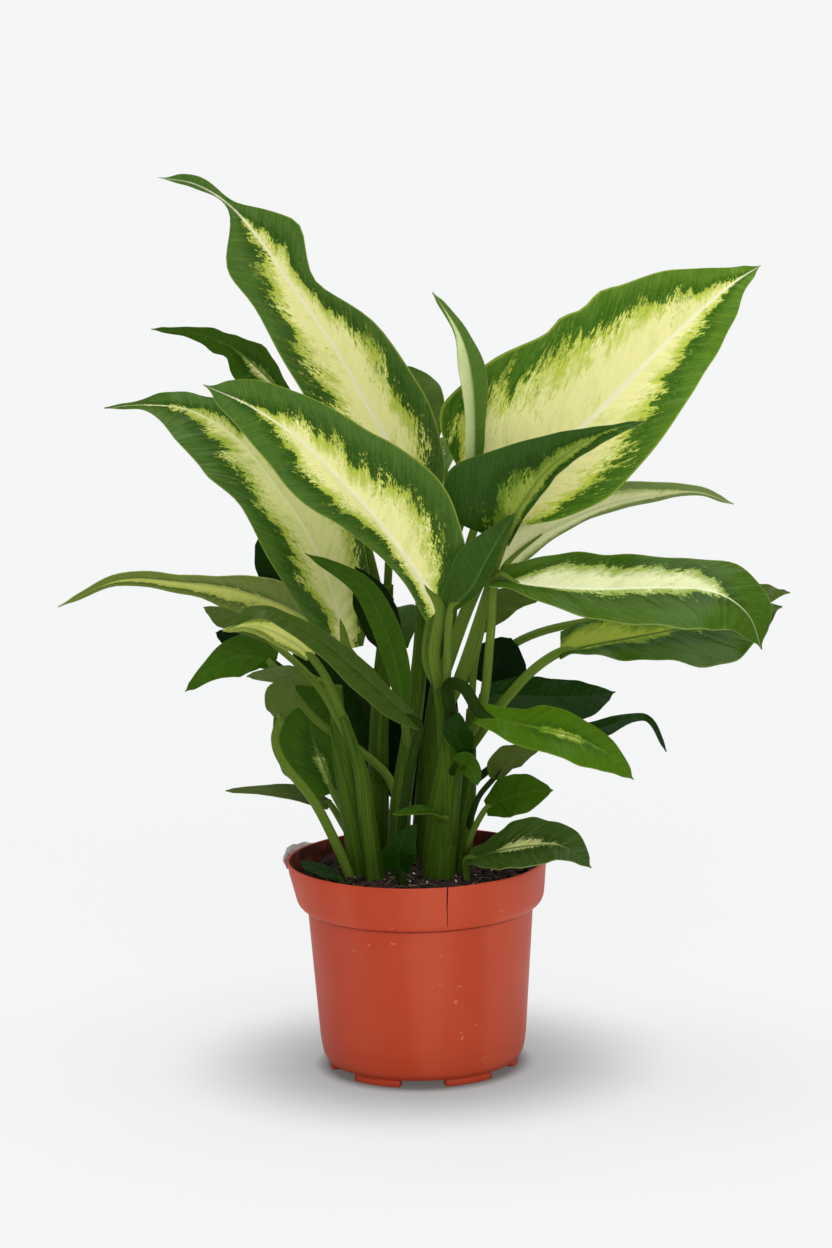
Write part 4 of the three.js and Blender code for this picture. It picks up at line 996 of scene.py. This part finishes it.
def stalk_rows(leaf):
    """The stalk's places and radii. It ends under the blade, at two places along the rib, with
    a share of its thin end's radius."""
    thick, thin = leaf.stalk
    foot = [stem_point(leaf.stem, leaf.at)] if leaf.stem else []
    places = [*foot, *leaf.via, leaf.rib[0][:3]]
    rows = [(*spot, thick + (thin - thick) * i / len(places)) for i, spot in enumerate(places)]
    frame_at = rib_frames(leaf)
    for t, share in UNDER_BLADE:
        below = frame_at(t)[1] * (0.5 + 0.5 * thin * (1 - 2 * t))
        rows.append((*(place(along(leaf.rib, t)) - below), thin * share))
    return rows


for index, leaf in enumerate(LEAVES):
    bm = new_bmesh()
    sheet = blade(bm, leaf, index + 1)
    stalk = tube(bm, stalk_rows(leaf), sides=14, rings=44, channel=0.35, top=leaf.face,
                 seed=index * STALK_SEED)
    for slot, faces in enumerate((*sheet, stalk)):
        for face in faces:
            face.material_index = slot
    upper, under = finishes[leaf.finish]
    in_painted_shade = leaf.finish in PAINTED_SHADE_FINISHES or leaf.name in PAINTED_SHADE_STALKS
    materials = [upper, under, under, shade_stalk if in_painted_shade else stalk_green]
    finish_piece(bm, f"leaf_{leaf.name}_blade", materials, "leaf_" + leaf.name)
print("leaves:", len(LEAVES))

# %% [markdown]
# ## The pot
# A nursery pot is one thin moulded wall. Its section is drawn once, from the middle of the
# floor up the inside, over the lip and down the outside, and spun round the axis.

# %% Pot section
POT_HEIGHT = 100
RIM_RADIUS = 60
POT_STEPS = 180
POT_CELL = 6
PROFILE_WELD = 1e-6
POT_INSIDE = [
    (0, 5.5), (44.2, 5.5), (46.4, 9), (47.4, 14), (52.1, 77.5), (56.9, 84.5), (58.8, 99.2),
    (59.0, 99.8),
]
POT_OUTSIDE = [
    (59.5, 100), (59.9, 99.8), (60, 99.2), (58.75, 84), (58.4, 81.8), (57.7, 80.2), (56.6, 78.9),
    (55.5, 78.1), (54.5, 77.5), (54.0, 77.3), (53.7, 77.5), (53.5, 78.4), (53.2, 78.4),
    (53.15, 77.4), (53.1, 74), (48.85, 14.6), (48.75, 14.2), (48.55, 13.8), (48.4, 11.5),
    (47.6, 7.4), (45.8, 3.9), (0, 3.9),
]


def spin_profile(bm, profile, steps):
    """Spins a row of (radius, height) round the Z axis and closes it."""
    verts = [bm.verts.new((radius * MM, 0, height * MM)) for radius, height in profile]
    edges = [bm.edges.new(pair) for pair in zip(verts, verts[1:])]
    bmesh.ops.spin(
        bm, geom=verts + edges, cent=(0, 0, 0), axis=(0, 0, 1), angle=2 * math.pi,
        steps=steps, use_merge=True, use_duplicate=False,
    )
    bmesh.ops.remove_doubles(bm, verts=bm.verts[:], dist=PROFILE_WELD)
    bmesh.ops.recalc_face_normals(bm, faces=bm.faces[:])


def subdivide_profile(profile, longest):
    """Adds points so that no step of the section is longer than longest."""
    full = [profile[0]]
    for (r0, z0), (r1, z1) in zip(profile, profile[1:]):
        count = max(1, math.ceil(math.hypot(r1 - r0, z1 - z0) / longest))
        for i in range(1, count + 1):
            full.append((r0 + (r1 - r0) * i / count, z0 + (z1 - z0) * i / count))
    return full


bm = new_bmesh()
spin_profile(bm, subdivide_profile(POT_INSIDE + POT_OUTSIDE, POT_CELL), POT_STEPS)
print("pot wall faces:", len(bm.faces))

# %% The collar's split and the bulged lip
SPLIT_ANGLE = 12
SPLIT_BOTTOM = 80
SPLIT_HALF = 0.14
SPLIT_WANDER = 0.3
SPLIT_STEP = 0.35
WALL_INNERMOST = 50
INSIDE_FROM = 60
RIM_BULGE = 2.6


def split_line(vert):
    """True for a point on the upright line where the collar has split."""
    turn = math.degrees(math.atan2(vert.co.y, vert.co.x)) + 90
    in_wall = vert.co.z > SPLIT_BOTTOM * MM and vert.co.xy.length > WALL_INNERMOST * MM
    return abs(turn - SPLIT_ANGLE) < 0.5 and in_wall


def rip_split(bm):
    """Splits the collar's edges on the line and draws the two sides apart, more at the top."""
    line = [e for e in bm.edges if all(split_line(v) for v in e.verts)]
    ripped = bmesh.ops.split_edges(bm, edges=line)["edges"]
    angle = math.radians(SPLIT_ANGLE)
    tangent = Vector((math.cos(angle), math.sin(angle), 0))
    outward = Vector((tangent.y, -tangent.x, 0))
    for vert in {v for e in ripped for v in e.verts}:
        if not split_line(vert):
            continue
        side = sum((face.calc_center_median() - vert.co).dot(tangent) for face in vert.link_faces)
        open_up = smooth_step(vert.co.z / MM, SPLIT_BOTTOM, POT_HEIGHT)
        wander = SPLIT_WANDER * math.sin(vert.co.z / MM * 0.7)
        gap = SPLIT_HALF * (1 + open_up) * (1 if side > 0 else -1)
        vert.co += tangent * (gap + wander) * MM
        if side > 0:
            vert.co += outward * SPLIT_STEP * open_up * MM
    return len(line)


def press_out_of_round(verts):
    """The lip is pressed out of round at its left, most at the top."""
    for vert in verts:
        x, y, z = vert.co / MM
        to_left = max(0.0, -x) / max(math.hypot(x, y), 1.0)
        vert.co.x -= RIM_BULGE * smooth_step(z, SPLIT_BOTTOM, POT_HEIGHT) * to_left ** 4 * MM


def is_inside(face):
    """True for a face of the wall's inner side, high enough to be seen over the soil."""
    middle = face.calc_center_median()
    outward = Vector((middle.x, middle.y, 0)).normalized()
    return middle.z > INSIDE_FROM * MM and face.normal.dot(outward) < -0.5


print("split edges:", rip_split(bm))
press_out_of_round(bm.verts)
for face in bm.faces:
    face.material_index = int(is_inside(face))
print("inner faces:", sum(face.material_index for face in bm.faces))

# %% Feet under the pot
FOOT_COUNT = 6
FOOT_ANGLE = 32
FIRST_FOOT_ANGLE = 29
FOOT_RADIUS = 42.7
FOOT_WIDTH = 4.2
FOOT_HEIGHT = 4.4
FOOT_ROUNDING = 0.5


def foot(bm, middle):
    """A low curved foot: a ring sector drawn flat, extruded down, with a softened edge."""
    made = bmesh.ops.create_grid(bm, x_segments=12, y_segments=2, size=0.5)["verts"]
    for vert in made:
        angle = math.radians(middle + FOOT_ANGLE * vert.co.x)
        radius = FOOT_RADIUS + FOOT_WIDTH * vert.co.y
        vert.co = Vector((radius * math.cos(angle), radius * math.sin(angle), FOOT_HEIGHT)) * MM
    grown = bmesh.ops.extrude_face_region(bm, geom=list(faces_at(made)))["geom"]
    low = [item for item in grown if isinstance(item, bmesh.types.BMVert)]
    bmesh.ops.translate(bm, verts=low, vec=(0, 0, -FOOT_HEIGHT * MM))
    bmesh.ops.recalc_face_normals(bm, faces=list(faces_at(made + low)))
    edges = {e for v in low for e in v.link_edges if all(end in low for end in e.verts)}
    rim = [e for e in edges if e.calc_face_angle(0) > 0.5]
    bmesh.ops.bevel(
        bm, geom=rim, offset=FOOT_ROUNDING * MM, affect="EDGES", segments=2, profile=0.5, material=-1)


for i in range(FOOT_COUNT):
    foot(bm, FIRST_FOOT_ANGLE - 90 + 360 / FOOT_COUNT * i)
smooth_shade(bm.faces)
print("pot faces with feet:", len(bm.faces))

# %% [markdown]
# ## Terracotta coloured plastic
# The plastic is one colour with soft upright bands where it flowed, scuffs from the bench,
# and a little dust. Its scuffs are thin and pale; the bands are read from the place alone.
# A thin line of painted shade lies where the collar meets the wall. The inner wall is painted
# darker as shade, and its heavy dark soil dust stands partly for shade too.

# %% Pot materials
CREASE_HEIGHT = 77.9
CREASE_HALF = 0.8
SCUFF = screen(214, 140, 118)
SOIL_DUST_AND_SHADE = screen(50, 26, 18)
CREASE_SHADE = screen(84, 26, 16)
PLASTIC_LOOK = {"depth": 0.04, "strength": 0.4, "specular": 0.3}


def pot_material(name, deep, light, wear, dust_and_shade, crease_shade):
    """The number after the three colours is how strongly dark brown soil dust covers the plastic,
    which inside the pot stands in for shade as well; the last is how dark the line of painted
    shade is where the collar meets the wall."""
    material, net = new_material(name)
    spot = net.place()
    x, y, z = net.separate(spot)
    bands = net.noise(net.combine(x * 34, y * 34, z * 3), 1.0, 1.0)
    clouds = net.noise(spot, 30.0, 3.0)
    color = net.mix(net.step(bands, 0.36, 0.64), deep, light)
    color = net.mix(net.step(clouds, 0.45, 0.75) * 0.35, color, wear)
    # a few short pale scratches, and pinprick specks
    scratches = net.noise(net.combine(x * 150, y * 150, z * 620), 1.0, 1.0)
    worn = net.step(net.noise(spot, 26.0, 1.0), 0.56, 0.64)
    scuff = net.step(scratches, 0.745, 0.775) * worn
    specks = net.step(net.noise(spot, 420.0, 0.0), 0.8, 0.84) * worn
    color = net.mix(net.math("MAXIMUM", scuff, specks) * 0.5, color, SCUFF)
    # dark soil dust, heavy inside the pot, where it also stands in for shade
    color = net.mix(net.step(net.noise(spot, 140.0, 4.0), 0.3, 0.6) * dust_and_shade, color, SOIL_DUST_AND_SHADE)
    # a thin dark line of painted shade where the collar meets the wall
    from_crease = net.math("ABSOLUTE", z - CREASE_HEIGHT * MM)
    line = net.step(from_crease, CREASE_HALF * MM, 0.4 * CREASE_HALF * MM) * crease_shade
    color = net.mix(line, color, CREASE_SHADE)
    roughness = net.step(clouds, 0.3, 0.7, 0.44, 0.56)
    net.dress(color, roughness, net.noise(spot, 900.0), **PLASTIC_LOOK)
    return material


pot_outside = pot_material(
    "terracotta_plastic", seen(191, 65, 34), seen(197, 77, 47), seen(200, 86, 56), 0.0, 0.75)
# the inner wall's darker colours and heavy dust are painted shade
pot_inside_painted_shade = pot_material(
    "terracotta_inside", screen(128, 46, 30), screen(140, 56, 38), screen(120, 60, 42), 0.85, 0.0)
finish_piece(bm, "pot_moulded", [pot_outside, pot_inside_painted_shade], "pot")

# %% [markdown]
# ## Soil
# Peaty soil is dark and lumpy, with crumbs, white perlite and fine roots on its top. The
# lumps come from the mesh, since the top is looked at from above. The perlite, the roots and
# the scrap of film are grained too, so one function makes all four finishes.

# %% Soil body
SOIL_PROFILE = [(0, 5.9), (43.8, 5.9), (46, 9), (47, 14), (51.7, 77.5), (56.4, 84.5), (57.2, 90)]
SOIL_CELL = 12
SOIL_RADIUS = 57.2
SOIL_RINGS = 32
SOIL_STEPS = 120
SOIL_TOP = 89.5


def soil_height(x, y):
    radius = math.hypot(x, y)
    lump = 0.9 * math.sin(0.21 * x + 1) * math.cos(0.27 * y) + 0.5 * math.sin(0.5 * x - 0.43 * y)
    rough = 2.2 * noise.noise(Vector((x, y, 3.0)) * 0.16) + noise.noise(Vector((x, y, 9.0)) * 0.45)
    settle = smooth_step(radius, 40, 56)
    return SOIL_LEVEL - 0.4 + lump * smooth_step(radius, 0, 10) + rough - settle


top_rings = [
    (SOIL_RADIUS - SOIL_RADIUS * i / SOIL_RINGS, SOIL_LEVEL) for i in range(1, SOIL_RINGS + 1)]
bm = new_bmesh()
spin_profile(bm, subdivide_profile(SOIL_PROFILE, SOIL_CELL) + top_rings, SOIL_STEPS)
for vert in bm.verts:
    if vert.co.z > SOIL_TOP * MM:
        vert.co.z = soil_height(vert.co.x / MM, vert.co.y / MM) * MM
smooth_shade(bm.faces)
press_out_of_round(bm.verts)
print("soil faces:", len(bm.faces))

# %% Grained finishes, and the soil's
def grainy_material(name, dark, light, scale, roughness, detail=3.0, rough=0.5, depth=0.3,
                    strength=0.6, spots=None):
    """A grained surface. spots are a wider noise over it: its scale and detail, the two values
    that it starts and is full at, its share and its colour."""
    material, net = new_material(name)
    grain = net.noise(net.place(), scale, detail, rough)
    color = net.mix(net.step(grain, 0.35, 0.65), dark, light)
    if spots:
        spot_scale, spot_detail, start, full, share, tint = spots
        blots = net.step(net.noise(net.place(), spot_scale, spot_detail), start, full)
        color = net.mix(blots * share, color, tint)
    net.dress(color, roughness, grain, depth, strength)
    return material


peat = grainy_material(
    "peat_soil", screen(20, 12, 10), screen(58, 38, 28), 420, 0.9, detail=4.0, rough=0.65,
    depth=1.2, strength=0.9, spots=(90, 3.0, 0.5, 0.7, 0.5, screen(78, 52, 38)),
)
finish_piece(bm, "soil_bed", [peat], "soil")

# %% Crumbs and perlite on the soil
SCATTER_SEED = 7
SCATTER_REACH = 55
CRUMB_COUNT = 900
CRUMB_SIZES = 0.5, 1.9
CRUMB_FLATNESS = 0.6
PERLITE_COUNT = 70
PERLITE_SIZES = 0.5, 1.3
PERLITE_FLATNESS = 0.9


def any_direction(draw):
    return draw.uniform(0, 2 * math.pi)


def polar(radius, angle):
    return radius * math.cos(angle), radius * math.sin(angle)


def scatter(bm, count, sizes, flat, draw):
    """Small squashed lumps of few faces, lying on the soil."""
    for _ in range(count):
        angle = any_direction(draw)
        x, y = polar(SCATTER_REACH * math.sqrt(draw.random()), angle)
        size = draw.uniform(*sizes)
        made = bmesh.ops.create_icosphere(bm, subdivisions=1, radius=size * MM)["verts"]
        wide = draw.uniform(0.7, 1.3), draw.uniform(0.7, 1.3)
        stretch = Vector((*wide, flat * draw.uniform(0.8, 1.2)))
        for vert in made:
            vert.co *= 1 + draw.uniform(-0.18, 0.18)
        bmesh.ops.scale(bm, vec=stretch, verts=made)
        spun = Matrix.Rotation(draw.uniform(0, 6.3), 3, "Z")
        turn = spun @ Matrix.Rotation(draw.uniform(-0.6, 0.6), 3, "X")
        bmesh.ops.rotate(bm, matrix=turn, verts=made)
        bmesh.ops.translate(bm, vec=Vector((x, y, soil_height(x, y) + 0.3 * size)) * MM, verts=made)


draw = random.Random(SCATTER_SEED)
bm = new_bmesh()
scatter(bm, CRUMB_COUNT, CRUMB_SIZES, CRUMB_FLATNESS, draw)
finish_piece(bm, "soil_crumbs", [peat])
bm = new_bmesh()
scatter(bm, PERLITE_COUNT, PERLITE_SIZES, PERLITE_FLATNESS, draw)
perlite = grainy_material("perlite", screen(206, 200, 186), screen(240, 238, 230), 900, 0.8)
finish_piece(bm, "perlite_grains", [perlite])
print("crumbs and perlite scattered")

# %% Fine roots
ROOT_COUNT = 46
ROOT_STEPS = 6
ROOT_STEP = 3.4
ROOT_REACH = 54
ROOT_RADII = 0.16, 0.32
ROOT_STARTS = 12, 46
ROOT_LIFTS = 0.3, 1.6
ROOT_TAPER = 9


def root(bm, draw):
    """A thin root that wanders over the soil."""
    angle = any_direction(draw)
    x, y = polar(draw.uniform(*ROOT_STARTS), angle)
    heading = any_direction(draw)
    rows = []
    for step in range(ROOT_STEPS):
        z = soil_height(x, y) + draw.uniform(*ROOT_LIFTS)
        rows.append((x, y, z, draw.uniform(*ROOT_RADII) * (1 - step / ROOT_TAPER)))
        heading += draw.uniform(-0.8, 0.8)
        ahead = polar(ROOT_STEP, heading)
        x += ahead[0]
        y += ahead[1]
        if math.hypot(x, y) > ROOT_REACH:
            break
    if len(rows) > 2:
        tube(bm, rows, sides=6, rings=18, top=(0, 0, 1))


bm = new_bmesh()
for _ in range(ROOT_COUNT):
    root(bm, draw)
root_finish = grainy_material("root", screen(96, 62, 44), screen(176, 138, 104), 500, 0.7)
finish_piece(bm, "fine_roots", [root_finish])
print("roots laid")

# %% [markdown]
# ## A scrap of film at the lip
# A thin pale scrap is caught on the outside of the lip. It is a small crumpled sheet.

# %% Film scrap
SCRAP_FROM = 181
SCRAP_TO = 141
SCRAP_BOTTOM = 93.5
SCRAP_TOP = 102.6
SCRAP_CLEAR = 0.55
SCRAP_THICKNESS = 0.22
SCRAP_CELLS = 12, 44


def scrap_shape(u, w, depth):
    """u runs along the lip, w up the scrap. It leans out and crumples more at its top."""
    turn = math.radians(SCRAP_FROM + (SCRAP_TO - SCRAP_FROM) * u)
    outward = Vector((math.cos(turn), math.sin(turn), 0))
    rough = noise.noise(Vector((7 * u, 3 * w, 1.0)))
    rough += 0.6 * noise.noise(Vector((19 * u, 8 * w, 4.0)))
    top = SCRAP_TOP - 3.4 * abs(2 * u - 0.9) ** 1.6 + 0.9 * rough
    bottom = SCRAP_BOTTOM + 2.5 * (2 * u - 1) ** 2
    height = bottom + (top - bottom) * w
    bulge = RIM_BULGE * smooth_step(height, SPLIT_BOTTOM, POT_HEIGHT) * max(0.0, -outward.x) ** 4
    reach = RIM_RADIUS + SCRAP_CLEAR + 1.1 * w * w + 0.7 * (0.6 + rough) * w - depth
    return outward * reach + Vector((-bulge, 0, height))


bm = new_bmesh()
thin_sheet(bm, *SCRAP_CELLS, scrap_shape, lambda u, w: ((u, w, 0), (u, w, 0)), SCRAP_THICKNESS)
bmesh.ops.recalc_face_normals(bm, faces=bm.faces[:])
# the dark blots on the film are painted shade
film = grainy_material(
    "scrap_film", screen(240, 241, 238), screen(252, 252, 250), 420, 0.35,
    spots=(260, 2.0, 0.6, 0.68, 0.85, screen(66, 58, 52)),
)
finish_piece(bm, "film_scrap_crumpled", [film], "film_scrap")

# %% [markdown]
# ## Floor and light
# The paper floor gives most of its brightness itself, so that it stays pale under the plant. A
# wide soft shade is painted round the pot, and a darker painted shade where the pot touches the
# paper. Two very wide suns and an even sky stand for softboxes.

# %% Floor, lamps and sky
FLOOR_HALF = 30
PAPER = (0.3, 0.303, 0.303, 1)
GLOW = (0.566, 0.571, 0.571, 1)
# the painted shade on the floor: its colour round the pot, its reach, and the darker painted shade
# where the pot touches
PAINTED_SHADE_UNDER_POT = (0.54, 0.54, 0.54, 1)
PAINTED_SHADE_REACH = 0.13, 0.04
PAINTED_CONTACT_REACH = 0.054, 0.044
PAINTED_CONTACT_SHADE = (0.3, 0.29, 0.28, 1)
SKY = 0.3


def paper_material():
    """The two reaches give how far from the pot's axis, in metres, each painted shade starts and is
    full: the wide one round the pot, and the dark one where the pot touches the paper.
    """
    material, net = new_material("floor_paper")
    from_middle = net.add("ShaderNodeVectorMath", net.place(), operation="LENGTH")[1]
    # the floor's colour and its glow are both darkened by painted shade near the pot
    in_painted_shade = net.step(from_middle, *PAINTED_SHADE_REACH)
    glow_in_painted_shade = net.mix(in_painted_shade, GLOW, PAINTED_SHADE_UNDER_POT, "MULTIPLY")
    net.surface({
        "Base Color": net.mix(in_painted_shade, PAPER, PAINTED_SHADE_UNDER_POT, "MULTIPLY"), "Roughness": 0.9,
        "Emission Color": net.mix(net.step(from_middle, *PAINTED_CONTACT_REACH), glow_in_painted_shade, PAINTED_CONTACT_SHADE, "MULTIPLY"),
        "Emission Strength": 1.0, "Specular IOR Level": 0.0,
    })
    return material


def wide_sun(name, comes_from, strength, degrees):
    """A sun as wide as a softbox. comes_from is the direction that it shines from."""
    data = bpy.data.lights.new(name, "SUN")
    data.energy = strength
    data.angle = math.radians(degrees)
    thing = add_object(name, data)
    thing.rotation_euler = Vector(comes_from).to_track_quat("Z", "Y").to_euler()


bm = bmesh.new()
bmesh.ops.create_grid(bm, x_segments=1, y_segments=1, size=FLOOR_HALF)
floor = make_mesh(bm, "floor", [paper_material()])
wide_sun("key_softbox", (0.06, 0.12, 1.0), 2.4, 50)
wide_sun("front_softbox", (0.1, -1.0, 0.15), 1.5, 70)
world = bpy.data.worlds.new("studio")
bpy.context.scene.world = world
world.use_nodes = True
backdrop = world.node_tree.nodes["Background"]
backdrop.inputs[0].default_value = (1, 1, 1, 1)
backdrop.inputs[1].default_value = SKY
bpy.context.scene.view_settings.view_transform = "Standard"
print("stage set")
